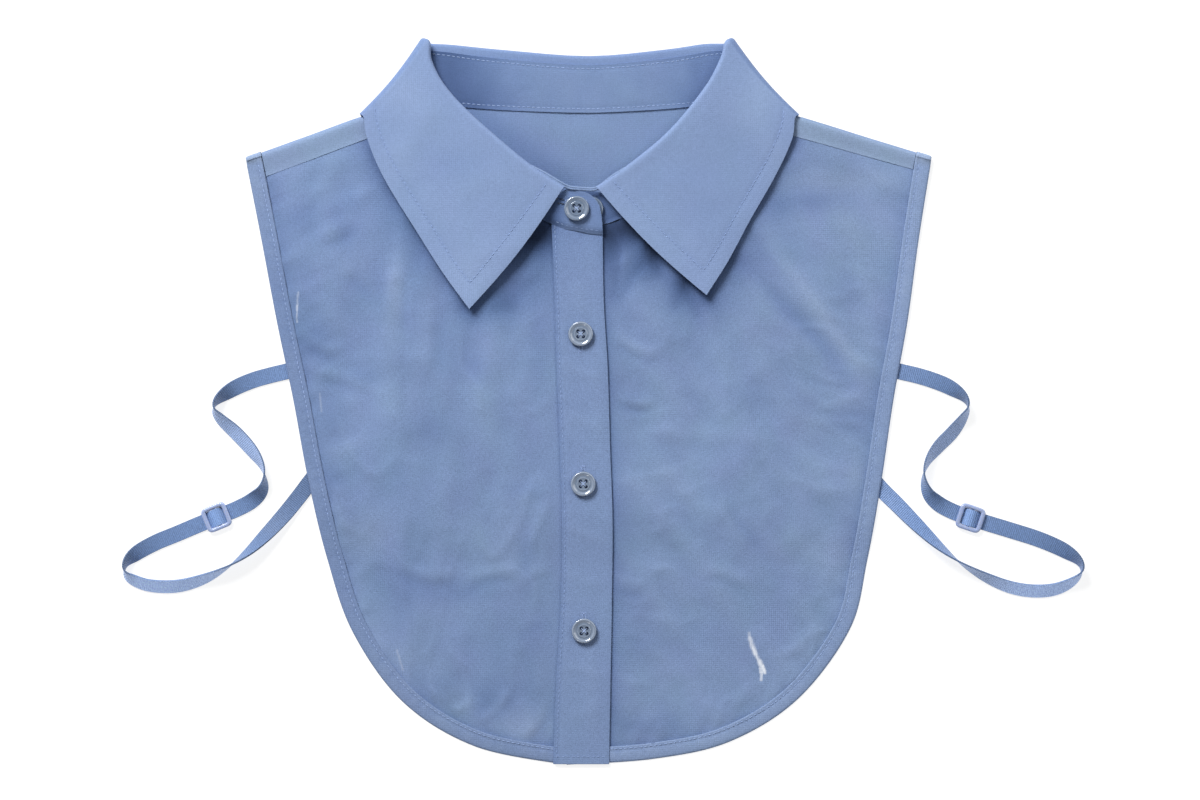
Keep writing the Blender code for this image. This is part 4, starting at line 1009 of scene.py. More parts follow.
def front(name, side, edge, seam, neck_start, tuck, crease_rows, tone_and_shade_rows, finish, node):
    """One front: neck and shoulder seam on top, the side edge outside, the hem at the bottom."""
    finer = 5  # columns of points between two points of the neck and shoulder line
    rows = 170
    top_points = list(neck_start)
    for k in range(2 * FIRST_TURN):
        share = k / (2 * LAST_ROW)
        x, y = neck_point(share if side > 0 else 1.0 - share, -1.0)
        if abs(x) < abs(seam[0][0]) - 2.0:
            top_points.append((x, y))
    for k in range(5):
        x, y = polyline(seam, k / 4.0)
        top_points.append((x, y - 0.15))
    seam_share = share_at_height(edge, seam[-1][1] - GAP, TUCKED_IN, side)

    def top(u):
        return picked(top_points, u)

    def outer(w):
        return inset(edge, seam_share + (HEM_SHARE - seam_share) * (1.0 - w), TUCKED_IN, side)

    def bottom(u):
        return inset(edge, HEM_SHARE + (1.0 - HEM_SHARE) * (1.0 - u), TUCKED_IN, side)

    def inner(w):
        start, end = bottom(0.0), top(0.0)
        y = start[1] + (end[1] - start[1]) * w
        along = placket_at(y)[0] + tuck
        straight = start[0] + (end[0] - start[0]) * w
        return straight + (along - straight) * smooth(w * 8.0) * smooth((1.0 - w) * 8.0), y

    def place(u, w):
        x, y = coons(top, bottom, inner, outer, u, w)
        from_side = (1.0 - u) * FRONT_WIDE
        from_hem, from_top = w * FRONT_LONG, (1.0 - w) * FRONT_LONG
        strip = placket_at(y)
        free = x - strip[2] if side < 0 else strip[0] - x
        calm = smooth(free / 12.0) * smooth(from_side / 9.0) * smooth(from_hem / 9.0)
        calm *= smooth(from_top / 12.0)
        rise, tone = creases(crease_rows, x, y)
        rise *= PRESSED
        tone += cloud_tone(tone_and_shade_rows, x, y)
        leaf_rows = COLLAR[:FIRST_TURN + 1] if side > 0 else COLLAR[:LAST_TURN - 1:-1]
        tone -= leaf_shade(x, y, leaf_rows)
        lean = -0.12 if side > 0 else 0.75
        drag = ripple(x + lean * y, (y - lean * x) / 4.0, 12.0, 1.0 + side)
        rise += 0.45 * drag + 0.26 * ripple(x, y, 16.0, 6.0 + side) + 0.10 * ripple(x, y, 6.0, 9.0)
        fold_at = ripple(x + lean * y, (y - lean * x) / 2.2, 19.0, 24.0 + side)
        ridge = max(1.0 - abs(fold_at) / 0.16, 0.0) ** 2 * (0.5 + ripple(x, y, 50.0, 27.0))
        rise += 0.32 * ridge
        # painted light on the raised drag ripples and fold ridges
        tone += 0.05 * drag + 0.035 * ridge
        z = front_level(x, y) + 0.5 + rise * 1.7 * calm
        # the edging's stitches pull short ripples into the side and the hem, with painted light on
        # their crests
        side_pull = ripple(x / 3.0, y - side * 0.5 * x, 6.5, 12.0 + side)
        hem_pull = ripple(x + 0.4 * side * y, y / 3.0, 6.5, 14.0 + side)
        pull = 0.6 * falling(from_side, 9.0) * side_pull + 0.8 * falling(from_hem, 11.0) * hem_pull
        tone += 0.12 * pull
        # painted shadow of the edging on the cloth just inside it
        near_edge = min(from_side, from_hem) - 1.2
        tone -= 0.14 * falling(max(near_edge, 0.0), 2.2)
        z -= 0.3 * (1.0 - smooth(from_top / 4.0))
        if free < 0.0:
            z = min(z, front_level(x, y) + 0.6)
        # a dark seam line at the placket's stitched edge on the left front, and painted shadow
        # beside the placket's free fold on the right front
        if side > 0:
            tone -= 0.10 * falling(abs(free), 0.6)
        else:
            tone -= 0.22 * falling(abs(free), 6.0) + 0.2 * falling(abs(free), 0.9)
        z = max(z + pull * smooth(free / 6.0), 0.4)
        return x, y, z, max(tone, DARKEST)

    shape = sheet((len(top_points) - 1) * finer, rows, place)
    piece = add_piece(name, shape, [finish], node)
    wall(piece, PANEL_WALL, PANEL_SOFT)


front("left_front", 1, EDGE_LEFT, SEAM_LEFT, NECK_START_LEFT, TUCK_LEFT, LEFT_CREASES, LEFT_TONE_AND_SHADE,
      cotton("left_shirting", (0.176, 0.254, 0.436), marks=RUBS), "front_left")
front("right_front", -1, EDGE_RIGHT, SEAM_RIGHT, NECK_START_RIGHT, TUCK_RIGHT, RIGHT_CREASES,
      RIGHT_TONE_AND_SHADE, cotton("right_shirting", (0.188, 0.267, 0.447), marks=SCUFFS), "front_right")

# Side and hem edging: an 8 mm strip of the shirting folded round the raw edge of the back bib,
# over the shoulder, down the front and round its hem, with one row of stitches near its inner edge.
EDGING_STITCH = 5.8  # from the outer edge
EDGING_STEPS = {"back": 50, "fold": 17, "front": 220}
HEM_WIDER = 0.8
# across the folded strip: distance from the outer edge, height over the layer's middle
EDGING_PROFILE = [
    (6.3, -0.32), (3.5, -0.34), (1.0, -0.34), (0.35, -0.28), (0.0, 0.02), (0.35, 0.36), (1.0, 0.50),
    (2.4, 0.60), (4.2, 0.62), (5.2, 0.56), (EDGING_STITCH, 0.44), (6.5, 0.58), (7.4, 0.62),
    (8.0, 0.56),
]


def edging(name, side, edge, back_edge, fold, finish, node):
    """The folded strip, swept along the edge."""
    stations = []
    for where, start, reach in (("back", 0.98, -0.94), ("fold", 0.0, 4.0), ("front", 0.02, 0.98)):
        last = EDGING_STEPS[where] - 1
        stations += [(where, start + reach * k / last) for k in range(last + 1)]
    line = [edge[0], (fold[-1][0] - side * GAP, fold[-1][1])]

    def mid(station, distance):
        where, t = station
        if where == "back":
            x, y = inset(back_edge, t, distance, side)
            return (x, y, back_level(x, y) + WALL / 2.0), (0.0, 0.0, -0.8)
        if where == "front":
            x, y = inset(edge, t, distance, side)
            puff = SHOULDER_PUFF * 0.5 * (1.0 - smooth((t - 0.02) * 14.0))
            return (x, y, front_level(x, y) + WALL / 2.0 + puff), (0.0, 0.0, 1.0)
        share = distance / EDGING
        base, outward, radius = shoulder(line, line, -side, share)[:3]
        point = wrap_shoulder(base, outward, radius, inset(edge, 0.012, distance, side), t)
        turn = math.radians(60.0 * min(t, 3.0))
        swing = math.sin(turn)
        return point, (outward[0] * swing, outward[1] * swing, -math.cos(turn))

    def place(u, w):
        n = round(u * (len(stations) - 1))
        distance, height = EDGING_PROFILE[round(w * (len(EDGING_PROFILE) - 1))]
        where, t = stations[n]
        wider = HEM_WIDER * smooth((t - HEM_SHARE) * 5.0 + 0.3) if where == "front" else 0.0
        (x, y, z), normal = mid(stations[n], distance - wider)
        pucker = 0.0
        if height > 0.0:
            pucker = 0.2 * ripple(n * 0.55, distance / 6.0, 1.0, 20.0 + side)
            pucker *= hump(distance - 5.0, 3.0)
        # uneven tone, with painted light on the puckers' crests
        tone = 0.03 * ripple(x, y, 22.0, 30.0) + 0.5 * pucker
        # the light falls across the folded strip, so each side is bright where it turns to it
        if side > 0:
            tone += 0.08 * smooth((-90.0 - y) / 50.0) + 0.14 * smooth((y - 70.0) / 40.0)
            tone -= 0.05 * hump(y - 40.0, 30.0)
        else:
            tone += 0.05 * smooth(y / 60.0) + 0.03 * smooth((-110.0 - y) / 40.0)
        # painted shade in the line of the stitches
        tone -= 0.05 * hump(distance - EDGING_STITCH, 0.8)
        # painted light where the strip wraps over the shoulder
        tone += 0.20 * (where == "fold")
        height += pucker
        return x + normal[0] * height, y + normal[1] * height, z + normal[2] * height, tone

    shape = sheet(len(stations) - 1, len(EDGING_PROFILE) - 1, place)
    keep_surface(name, shape)
    piece = add_piece(name, shape, [finish], node)
    wall(piece, 0.3)


# the left strip gets a darker copy of the shirting and the right a lighter one: painted shade and
# painted light for how each side faces the light
edging("left_edging", 1, EDGE_LEFT, BACK_EDGE_LEFT, FOLD_LEFT,
       cotton("left_edging_shirting", (0.170, 0.240, 0.415), cloud=0.10), "binding_left")
edging("right_edging", -1, EDGE_RIGHT, BACK_EDGE_RIGHT, FOLD_RIGHT,
       cotton("right_edging_shirting", (0.215, 0.297, 0.485), cloud=0.10), "binding_right")

# Button placket: a 26 mm doubled strip on the left front, stitched down near its left edge; its
# right edge is a fold that lies free over the right front.
PLACKET_WIDE = 26.0
PLACKET_LONG = 270.0
PLACKET_STITCH = 1.6
PLACKET_CREASES = [
    (-14, 20, 6, 12, 1, 3, 0.25, 0.03), (-12, -8, 8, -14, -1, 3, 0.2, 0.03),
    (-10, -62, 10, -70, 1, 3, 0.25, 0.03), (-12, -84, 6, -92, 1, 3, 0.2, 0.02),
    (-12, -132, 8, -138, -1, 3, 0.25, 0.03), (-10, -158, 6, -150, 1, 4, 0.2, 0.02),
    (-4, 60, -2, 44, 1, 4, 0.25, 0.03), (2, -120, 4, -170, 1, 4, 0.25, 0.03),
    (4, 24, 6, -24, 0, 3, 0.2, 0.02), (-8, -20, -8, -34, 0, 3, -0.2, -0.03),
]


def placket_strip():
    """The strip, with its fold rounded and its surface slightly uneven."""
    def place(u, w):
        strip = row_at(PLACKET, 1.0 - w)
        x, y = between(strip[:2], strip[2:], u)
        from_left, from_right = u * PLACKET_WIDE, (1.0 - u) * PLACKET_WIDE
        from_top = (1.0 - w) * PLACKET_LONG
        rise, tone = creases(PLACKET_CREASES, x, y)
        rise += 0.12 * ripple(x, y, 11.0, 40.0) + 0.05 * ripple(x, y, 4.0, 41.0)
        rise -= 0.22 * hump(from_left - PLACKET_STITCH, 1.3)
        rise -= 0.25 * falling(from_right, 0.9) + 0.2 * falling(from_left, 0.5)
        pucker = 0.16 * ripple(0.0, y, 3.6, 42.0) * falling(from_left, 3.5)
        pucker += 0.35 * ripple(x, y / 2.5, 4.5, 43.0) * falling(from_top, 7.0)
        # painted shade below the stand, beside the leaf, along the free fold and in the line of the
        # stitches, a dark seam line at the stitched edge, and painted light on the puckers' crests
        tone -= 0.12 * falling(from_top, 9.0) + 0.08 * falling(from_top, 45.0)
        tone -= 0.10 * math.exp(-from_right / 2.0 - from_top / 40.0)
        tone -= 0.26 * math.exp(-from_left / 6.0 - from_top / 20.0) + 0.12 * falling(from_left, 0.7)
        tone += 0.5 * pucker - 0.07 * hump(from_left - PLACKET_STITCH, 0.9)
        return x, y, front_level(x, y) + LAYER + 0.5 + rise + pucker, tone

    shape = sheet(26, 190, place)
    keep_surface("placket", shape)
    finish = cotton("placket_shirting", (0.187, 0.265, 0.452), cloud=0.12)
    piece = add_piece("placket_strip", shape, [finish], "placket")
    wall(piece, 0.8, 0.3)


placket_strip()

# Collar stand: a fused band round the neck, sewn to the neck edge, its left end lapping over the
# right one; the fall is sewn to its top.
# seam x, seam y, top x, top y, seam height, top height
STAND_LEFT_END = [
    (7.2, 83.8, 6.6, 91.5, 5.3, 5.7), (5.8, 83.8, 5.6, 97.6, 5.3, 6.0),
    (3.4, 83.9, 3.0, 101.6, 5.3, 6.1), (-0.6, 84.4, -0.6, 104.2, 5.3, 6.1),
    (-6.0, 85.6, -6.2, 105.5, 5.2, 6.1), (-11.6, 86.6, -11.2, 106.0, 5.0, 6.1),
    (-18.0, 89.0, -15.6, 102.4, 4.5, 6.0),
]
STAND_RIGHT_END = [
    (-12.0, 88.6, -12.0, 105.0, 1.9, 1.8), (-2.0, 88.6, -4.0, 105.8, 2.0, 1.8),
    (8.0, 89.0, 2.0, 105.6, 2.1, 1.9), (14.0, 91.0, 5.8, 104.6, 2.2, 2.3),
]
STAND_CREASES = [
    (-39, 162, -33, 152, 1, 2.5, 0.3, 0.04), (-34, 158, -30, 150, 0, 2, -0.2, -0.04),
    (20, 160, 26, 150, 1, 3, 0.2, 0.03), (48, 166, 52, 154, 1, 3, 0.2, 0.03),
]
STAND_STITCH = 2.0
SEAM_PRESSED = 1.3
# the turned top edge of the stand, where it shows inside the corners of the leaves
NECK_LINE = [
    (-31.0, 118.2, 8.2), (-22.3, 113.9, 8.6), (-14.4, 109.2, 8.2), (-9.4, 106.9, 7.0),
    (-3.0, 106.3, 6.3), (2.6, 106.2, 5.8), (6.4, 108.0, 5.6), (13.4, 113.2, 6.6),
    (22.8, 118.6, 7.2),
]


def neck_line(finish):
    """A doubled rounded edge, swept along the top of the stand at the front."""
    def place(u, w):
        x, y, z = row_at(NECK_LINE, u)
        up = 0.36 * math.sqrt(abs(math.sin(2.0 * math.pi * w))) + 0.08 * ripple(x, y, 3.0, 55.0)
        # painted highlights on the two rounded edges and painted shade in the crease between them
        tone = 0.14 - 0.50 * hump(w - 0.5, 0.09)
        return (*inset(NECK_LINE, u, (w - 0.5) * 1.7, 1), z + up, tone)

    piece = add_piece("stand_top_edge", sheet(90, 16, place), [finish])
    wall(piece, 0.4)


def stand_band():
    """The band, from its left end round the neck to its right end."""
    sections = []

    def add_end(rows):
        for seam_x, seam_y, top_x, top_y, seam_z, top_z in rows:
            sections.append((top_x, top_y, top_z, seam_x, seam_y, seam_z))

    add_end(STAND_LEFT_END)
    halves = 2 * LAST_ROW
    for k in range(halves + 1):
        here = collar_frame(k / halves)
        rx, ry, gx, gy = here[:4]
        outward, reach, roll_z = here[5:8]
        seam_z, turn = here[9:]
        top = SEAM_IN - 0.6
        top_point = lay_round(
            rx + gx * top, ry + gy * top, roll_z, WALL / 2.0, 2.0 * ROLL, outward, turn
        )
        seam_point = lay_round(
            rx + gx * reach, ry + gy * reach, seam_z, LAYER + WALL / 2.0, 0.0, outward, turn
        )
        over = 0.65 * smooth((turn - 1.5) / 1.5)
        lap = 0.8 * smooth((turn - 1.5) / 1.5)
        sections.append((*top_point[:2], top_point[2] + lap, *seam_point[:2], seam_point[2] + over))
    add_end(STAND_RIGHT_END[::-1])

    def place(u, w):
        values = row_at(sections, u)
        x, y, z = between(values[:3], values[3:], w)
        tall = math.dist(values[:2], values[3:5])
        from_seam, from_top = (1.0 - w) * tall, w * tall
        rise, tone = creases(STAND_CREASES, x, y)
        rise += 0.10 * ripple(x, y, 12.0, 50.0)
        # both rows of stitches are pressed in, with a little painted shade in them
        for away in (from_seam - STAND_STITCH, from_top - 1.9):
            rise -= 0.15 * math.exp(-(away ** 2))
            tone -= 0.03 * hump(away, 0.9)
        rise += 0.15 * math.sin(math.pi * w)
        # the leaves' rolls shade the back of the band, and the leaves shade its front ends
        if y > 140.0:
            left_away = to_line(x, y, COLLAR[FIRST_TURN][:2], COLLAR[3][:2])[0]
            right_away = to_line(x, y, COLLAR[LAST_TURN][:2], COLLAR[LAST_TURN + 2][:2])[0]
            tone -= 0.50 * hump(left_away, 23.0)
            tone -= 0.28 * hump(right_away, 17.0)
            tone += 0.05 * ripple(x, y / 2.0, 7.0, 57.0)
            tone -= 0.06 * falling(from_top, 2.5)
        if y < 112.0:
            if u < 0.5:
                rise -= SEAM_PRESSED * hump(from_seam, 1.3)
                tone -= 0.12 + 0.44 * smooth((-9.5 - x) / 9.0) + 0.10 * falling(from_top, 7.0)
            else:
                tone -= 0.50
            # painted highlights along the front ends' top edge and seam
            tone += 0.16 * falling(from_top, 0.9) + 0.12 * falling(from_seam, 0.8)
        return x, y, z + rise, tone

    shape = sheet((len(sections) - 1) * 5, 22, place)
    keep_surface("stand", shape)
    finish = cotton("stand_shirting", (0.178, 0.257, 0.445), streak=0.30, cloud=0.14)
    piece = add_piece("stand_band", shape, [finish], "collar_stand")
    wall(piece, 0.6, 0.2)
    neck_line(finish)


stand_band()

# Collar fall: two fused layers turned and pressed, sewn under the roll to the stand, with a row of
# topstitching 8 mm inside its edges and sharp points.
TOPSTITCH = 8.0
LEAF_CREASES = [
    (-96, 128, -62, 84, 3, 9, 0.35, 0.03), (-40, 112, -70, 96, 3, 8, 0.3, 0.02),
    (-76, 150, -96, 120, -2, 7, 0.3, 0.03), (-36, 78, -54, 70, 1, 5, 0.25, 0.02),
    (84, 148, 96, 118, 2, 7, 0.3, 0.03), (34, 110, 70, 100, -3, 8, 0.35, 0.03),
    (50, 84, 60, 66, 2, 5, 0.25, 0.02), (60, 140, 88, 112, -2, 8, -0.25, -0.02),
    (-80, 112, -92, 98, 1, 5, -0.25, -0.02), (74, 96, 84, 84, 1, 4, 0.25, 0.02),
]
LEAF_CLOUDS = [
    (-62, 64, 12, 14, 0.06), (60, 100, 16, 18, -0.06), (78, 146, 14, 14, 0.05),
    (-92, 154, 12, 12, 0.09), (88, 158, 10, 14, 0.08), (-64, 118, 16, 8, -0.05),
    (44, 112, 12, 6, -0.05), (-100, 118, 8, 16, 0.03), (-34, 100, 10, 12, -0.03),
    (30, 106, 10, 8, -0.04), (52, 70, 8, 10, -0.03), (96, 120, 8, 12, 0.03),
]
FRONT_BOW = 2.0  # how far the leaves' front edges and side folds are bowed
SIDE_BOW = 1.4


def from_front_edge(x, y, row):
    """Distance of a point from the front edge of a leaf."""
    rx, ry, ex, ey = row[:4]
    run = math.hypot(ex - rx, ey - ry)
    return abs((x - rx) * (ey - ry) - (y - ry) * (ex - rx)) / run


def collar_fall():
    """The fall, swept from front edge to front edge round the neck."""
    section = [(SEAM_IN, 2.0 * ROLL), (3.4, 2.0 * ROLL)]
    for k in range(9):
        angle = math.radians(22.5 * k)
        section.append((ROLL - ROLL * math.sin(angle), ROLL + ROLL * math.cos(angle)))
    spread = 44  # rows of points from the roll to the edge
    stations = []
    for k in range(LAST_ROW):
        on_top = k < FIRST_TURN or k >= LAST_TURN
        steps = 12 if on_top else 4
        stations += [(k + step / steps) / LAST_ROW for step in range(steps)]
    stations.append(1.0)

    def place(u, w):
        t = stations[round(u * (len(stations) - 1))]
        rx, ry, gx, gy, length, outward, reach, roll_z, edge_z, seam_z, turn = collar_frame(t)
        k = round(w * (len(section) + spread - 1))
        if k < len(section):
            along, drop = section[k]
        else:
            along, drop = ROLL + (length - ROLL) * (k - len(section) + 1) / spread, 0.0
        share = max(along - ROLL, 0.0) / (length - ROLL)
        front_z = edge_z + (roll_z - edge_z) * max(1.0 - share, 0.0) ** 1.3
        x, y = rx + gx * along, ry + gy * along
        from_front = from_front_edge(x, y, COLLAR[0] if t < 0.5 else COLLAR[-1])
        bow = FRONT_BOW * max(1.0 - from_front / 22.0, 0.0) ** 2 if turn < 0.2 else 0.0
        folds = t * LAST_ROW
        bow += SIDE_BOW * smooth(min(folds - FIRST_TURN + 2.0, LAST_TURN - folds + 2.0) / 2.0) * (
            1.0 - smooth(min(folds - FIRST_TURN - 3.0, LAST_TURN - 3.0 - folds)))
        x -= outward[0] * bow * math.sin(math.pi * share)
        y -= outward[1] * bow * math.sin(math.pi * share)
        rise = 0.0
        # the cloth turned round the side folds and behind the neck carries painted shade
        tone = -0.15 if turn > 0.2 else 0.0
        if drop == 0.0 and turn < 0.2:
            from_edge = length - along
            rise, tone = creases(LEAF_CREASES, x, y)
            tone += cloud_tone(LEAF_CLOUDS, x, y)
            rise = (rise + 0.3 * ripple(x, y, 34.0, 60.0)) * smooth(from_edge / 10.0)
            rise += 0.07 * ripple(x, y, 9.0, 61.0)
            nearest = min(from_edge, from_front)
            # painted shade in the stitch line, painted highlight along the edges, and a little
            # lighter towards the front edge
            rise -= 0.20 * hump(nearest - TOPSTITCH, 1.4)
            tone -= 0.035 * hump(nearest - TOPSTITCH, 0.9)
            rise -= 0.2 * falling(nearest, 0.8)
            tone += 0.035 * smooth((40.0 - from_front) / 40.0) + 0.02 * falling(nearest, 2.0)
            rise *= smooth((along - ROLL) / 6.0)
        x, y, z = lay_round(x, y, front_z, WALL / 2.0, drop, outward, turn)
        return x, y, z + rise, tone

    shape = sheet(len(stations) - 1, len(section) + spread - 1, place)
    keep_surface("fall", shape)
    finish = cotton("collar_shirting", (0.212, 0.295, 0.495), streak=0.26, cloud=0.12)
    piece = add_piece("fall_leaves", shape, [finish], "collar_fall")
    wall(piece, 0.9, 0.3)


collar_fall()

# Topstitching: lockstitch in a polyester thread a shade lighter than the cloth, about ten
# stitches to 25 mm, each pulled slightly into the cloth.
STITCH_PITCH = 2.5
STITCH_LENGTH = 1.9
STITCH_THICK = 0.2


def thread(name, colour):
    """Twisted thread, a little uneven in tone along its length."""
    finish, tree, shader = new_finish(name, colour, 0.6)
    twist = add_node(tree, "TexNoise", Scale=1800.0, Vector=object_place(tree))
    vary = remap(tree, twist.outputs["Fac"], 0.0, 1.0, 0.7, 1.3)
    feed(tree, shader.inputs["Base Color"], add_vector(tree, "SCALE", colour, vary))
    return finish


thread_finish = thread("sewing_thread", (0.32, 0.43, 0.68))
matched_thread = thread("matched_thread", (0.26, 0.36, 0.60))


def on_cloth(name, x, y, lift):
    """Height of a cloth's upper face under a point."""
    hit = trees[name].ray_cast(mathutils.Vector((x, y, 40.0)), mathutils.Vector((0.0, 0.0, -1.0)))
    return None if hit[0] is None else hit[0].z + lift


def bar(shape, start, end, thick):
    """A short thread between two points: a long bead of six sides."""
    start, end = mathutils.Vector(start), mathutils.Vector(end)
    along = end - start
    turn = along.to_track_quat("Z", "Y").to_matrix().to_4x4()
    size = mathutils.Matrix.Diagonal((thick, thick, along.length / 2.0, 1.0))
    place = mathutils.Matrix.Translation((start + end) / 2.0) @ turn @ size
    bmesh.ops.create_uvsphere(shape, u_segments=6, v_segments=5, radius=1.0, matrix=place)


def stitch_row(shape, points, name, lift, pitch=STITCH_PITCH, length=STITCH_LENGTH):
    """A row of stitches on a cloth, along a line of points."""
    total = sum(math.dist(a, b) for a, b in zip(points, points[1:]))
    count = int(total / pitch)
    for n in range(count):
        x0, y0 = polyline(points, n * pitch / total)
        x1, y1 = polyline(points, (n * pitch + length) / total)
        z0, z1 = on_cloth(name, x0, y0, lift), on_cloth(name, x1, y1, lift)
        if z0 is not None and z1 is not None and abs(z0 - z1) < 1.5:
            bar(shape, (x0, y0, z0), (x1, y1, z1), STITCH_THICK)


def stitches(name, rows, finish=thread_finish):
    """A piece made of several rows of stitches: points, cloth, lift over the sheet's middle."""
    shape = bmesh.new()
    for points, cloth, lift in rows:
        stitch_row(shape, points, cloth, lift)
    add_piece(name, shape, [finish])


def line_along(rows, first, last, distance, side):
    """Points along an outline, inset by a distance."""
    return [inset(rows, first + (last - first) * k / 80, distance, side) for k in range(81)]


stitches("edging_stitches", [
    (line_along(EDGE_LEFT, 0.02, 1.0, EDGING_STITCH, 1), "left_edging", 0.2),
    (line_along(EDGE_RIGHT, 0.02, 1.0, EDGING_STITCH, -1), "right_edging", 0.2),
])
placket_line = []
for k in range(81):
    strip = row_at(PLACKET, k / 80 * 0.985 + 0.012)
    placket_line.append((strip[0] + PLACKET_STITCH, strip[1]))
stitches("placket_stitches", [
    (placket_line, "placket", 0.42), ([(-16.0, -177.5), (9.4, -177.5)], "placket", 0.45),
], matched_thread)


def leaf_line(first, last, row):
    """The topstitching line of one leaf: beside its front edge, then beside its outer edge."""
    rx, ry, ex, ey = row[:4]
    run = math.hypot(ex - rx, ey - ry)
    side = 1.0 if row is COLLAR[-1] else -1.0
    line = []
    for k in range(13):
        share = 0.06 + 0.80 * k / 12
        beside = TOPSTITCH - FRONT_BOW * 0.41 * math.sin(math.pi * share)
        x, y = between((rx, ry), (ex, ey), share)
        line.append((x - side * (ey - ry) / run * beside, y + side * (ex - rx) / run * beside))
    for k in range(121):
        t = first + (last - first) * k / 120
        rx, ry, gx, gy, length = collar_frame(t)[:5]
        x, y = rx + gx * (length - TOPSTITCH), ry + gy * (length - TOPSTITCH)
        if from_front_edge(x, y, row) >= TOPSTITCH:
            line.append((x, y))
    return line


stitches("leaf_stitches", [
    (leaf_line(0.0, FIRST_TURN / LAST_ROW, COLLAR[0]), "fall", 0.5),
    (leaf_line(1.0, LAST_TURN / LAST_ROW, COLLAR[-1]), "fall", 0.5),
], matched_thread)
upper, lower = [], []
for k in range(81):
    t = T_LEFT_BACK + (T_RIGHT_BACK - T_LEFT_BACK) * k / 80
    rx, ry, gx, gy, length, outward, reach = collar_frame(t)[:7]
    upper.append((rx + gx * (SEAM_IN + 1.2), ry + gy * (SEAM_IN + 1.2)))
    lower.append((rx + gx * (reach - STAND_STITCH), ry + gy * (reach - STAND_STITCH)))
end_line = [(5.0, 85.5), (-0.6, 86.2), (-6.0, 87.0), (-11.6, 88.2), (-17.2, 90.4)]
stitches("stand_stitches", [(upper, "stand", 0.3), (lower, "stand", 0.3), (end_line, "stand", 0.2)])

# Buttons: 20-line four-hole buttons turned from smoke-grey translucent resin, with a raised rim
# and a dished middle, sewn on with a crossed light-blue thread.
BUTTONS = [
    ("button_stand", -5.9, 96.4, 6.35), ("button_2", -3.9, 33.9, 3.95),
    ("button_3", -2.6, -41.0, 3.95), ("button_4", -2.2, -114.5, 2.6),
    ("button_under", 1.2, 96.4, 3.2),
]
BUTTON_PROFILE = [
    (0.0, 0.0), (4.8, 0.0), (5.7, 0.25), (6.15, 0.7), (6.3, 1.2), (6.22, 1.64), (6.0, 1.95),
    (5.65, 2.1), (5.25, 2.06), (4.9, 1.88), (4.55, 1.7), (4.2, 1.6), (3.8, 1.54), (3.5, 1.58),
    (3.3, 1.7), (3.05, 1.7), (2.7, 1.6), (1.5, 1.54), (0.0, 1.52),
]
HOLE_PITCH = 1.95
HOLE = 0.85
BUTTON_FACE = 1.56
SEWING_THICK = 0.16
button_finish, tree, shader = new_finish(
    "smoke_resin", (0.40, 0.46, 0.54), 0.10, Transmission_Weight=0.12, IOR=1.53, Coat_Weight=0.8,
    Coat_Roughness=0.03,
)
swirl = add_node(tree, "TexNoise", Scale=260.0, Detail=2.0, Vector=object_place(tree))
# the points' tone: cloth seen through the resin, painted highlight rings, and painted shade on the
# dimmed buttons
clear = add_math(tree, "SUBTRACT", point_tone(tree), 0.15)
clear = add_math(tree, "MULTIPLY_ADD", swirl.outputs["Fac"], 0.3, clear)
smoke = blend(tree, clear, (0.070, 0.120, 0.210, 1.0), (0.43, 0.50, 0.62, 1.0))
feed(tree, shader.inputs["Base Color"], smoke)
# how pale the resin looks at each distance from the middle: cloth shows through where it is thin,
# and the bright rings on the rim and round the hub are painted highlights
BUTTON_TONES = [
    (0.0, 0.40), (1.2, 0.40), (2.4, 0.34), (2.9, 0.26), (3.15, 0.80), (3.4, 0.24), (3.9, 0.34),
    (4.6, 0.58), (5.0, 0.80), (5.25, 0.36), (5.5, 0.30), (5.75, 0.95), (5.95, 0.90), (6.15, 0.15),
    (7.0, 0.10),
]


def button_mesh(height, light_share):
    """One button at the origin, drilled, with its tones times a light share that dims it as painted
    shade, in millimetres.
    """
    shape = bmesh.new()
    points = [shape.verts.new((radius, 0.0, up * height)) for radius, up in BUTTON_PROFILE]
    edges = [shape.edges.new(pair) for pair in zip(points, points[1:])]
    bmesh.ops.spin(
        shape, geom=points + edges, cent=(0, 0, 0), axis=(0, 0, 1), angle=math.tau, steps=48,
        use_merge=True,
    )
    bmesh.ops.remove_doubles(shape, verts=shape.verts, dist=0.001)
    bmesh.ops.recalc_face_normals(shape, faces=shape.faces)
    drill = bmesh.new()
    for turn in range(4):
        angle = math.radians(45.0 + 90.0 * turn)
        spot = (HOLE_PITCH * math.cos(angle), HOLE_PITCH * math.sin(angle), 0.0)
        bmesh.ops.create_cone(
            drill, cap_ends=True, segments=16, radius1=HOLE, radius2=HOLE, depth=12.0,
            matrix=mathutils.Matrix.Translation(spot),
        )
    made = []
    for name, part in (("blank", shape), ("drill", drill)):
        mesh = bpy.data.meshes.new(name)
        part.to_mesh(mesh)
        part.free()
        made.append(bpy.data.objects.new(name, mesh))
        scene.collection.objects.link(made[-1])
    cut = made[0].modifiers.new("holes", "BOOLEAN")
    cut.object = made[1]
    cut.solver = "EXACT"
    graph = bpy.context.evaluated_depsgraph_get()
    drilled = bmesh.new()
    drilled.from_mesh(made[0].evaluated_get(graph).data)
    for thing in made:
        bpy.data.objects.remove(thing)
    tone = drilled.verts.layers.float.new("tone")
    for vert in drilled.verts:
        far = math.hypot(vert.co.x, vert.co.y)
        for (r0, pale0), (r1, pale1) in zip(BUTTON_TONES, BUTTON_TONES[1:]):
            if r0 <= far < r1:
                vert[tone] = light_share * (pale0 + (pale1 - pale0) * (far - r0) / (r1 - r0))
    return drilled


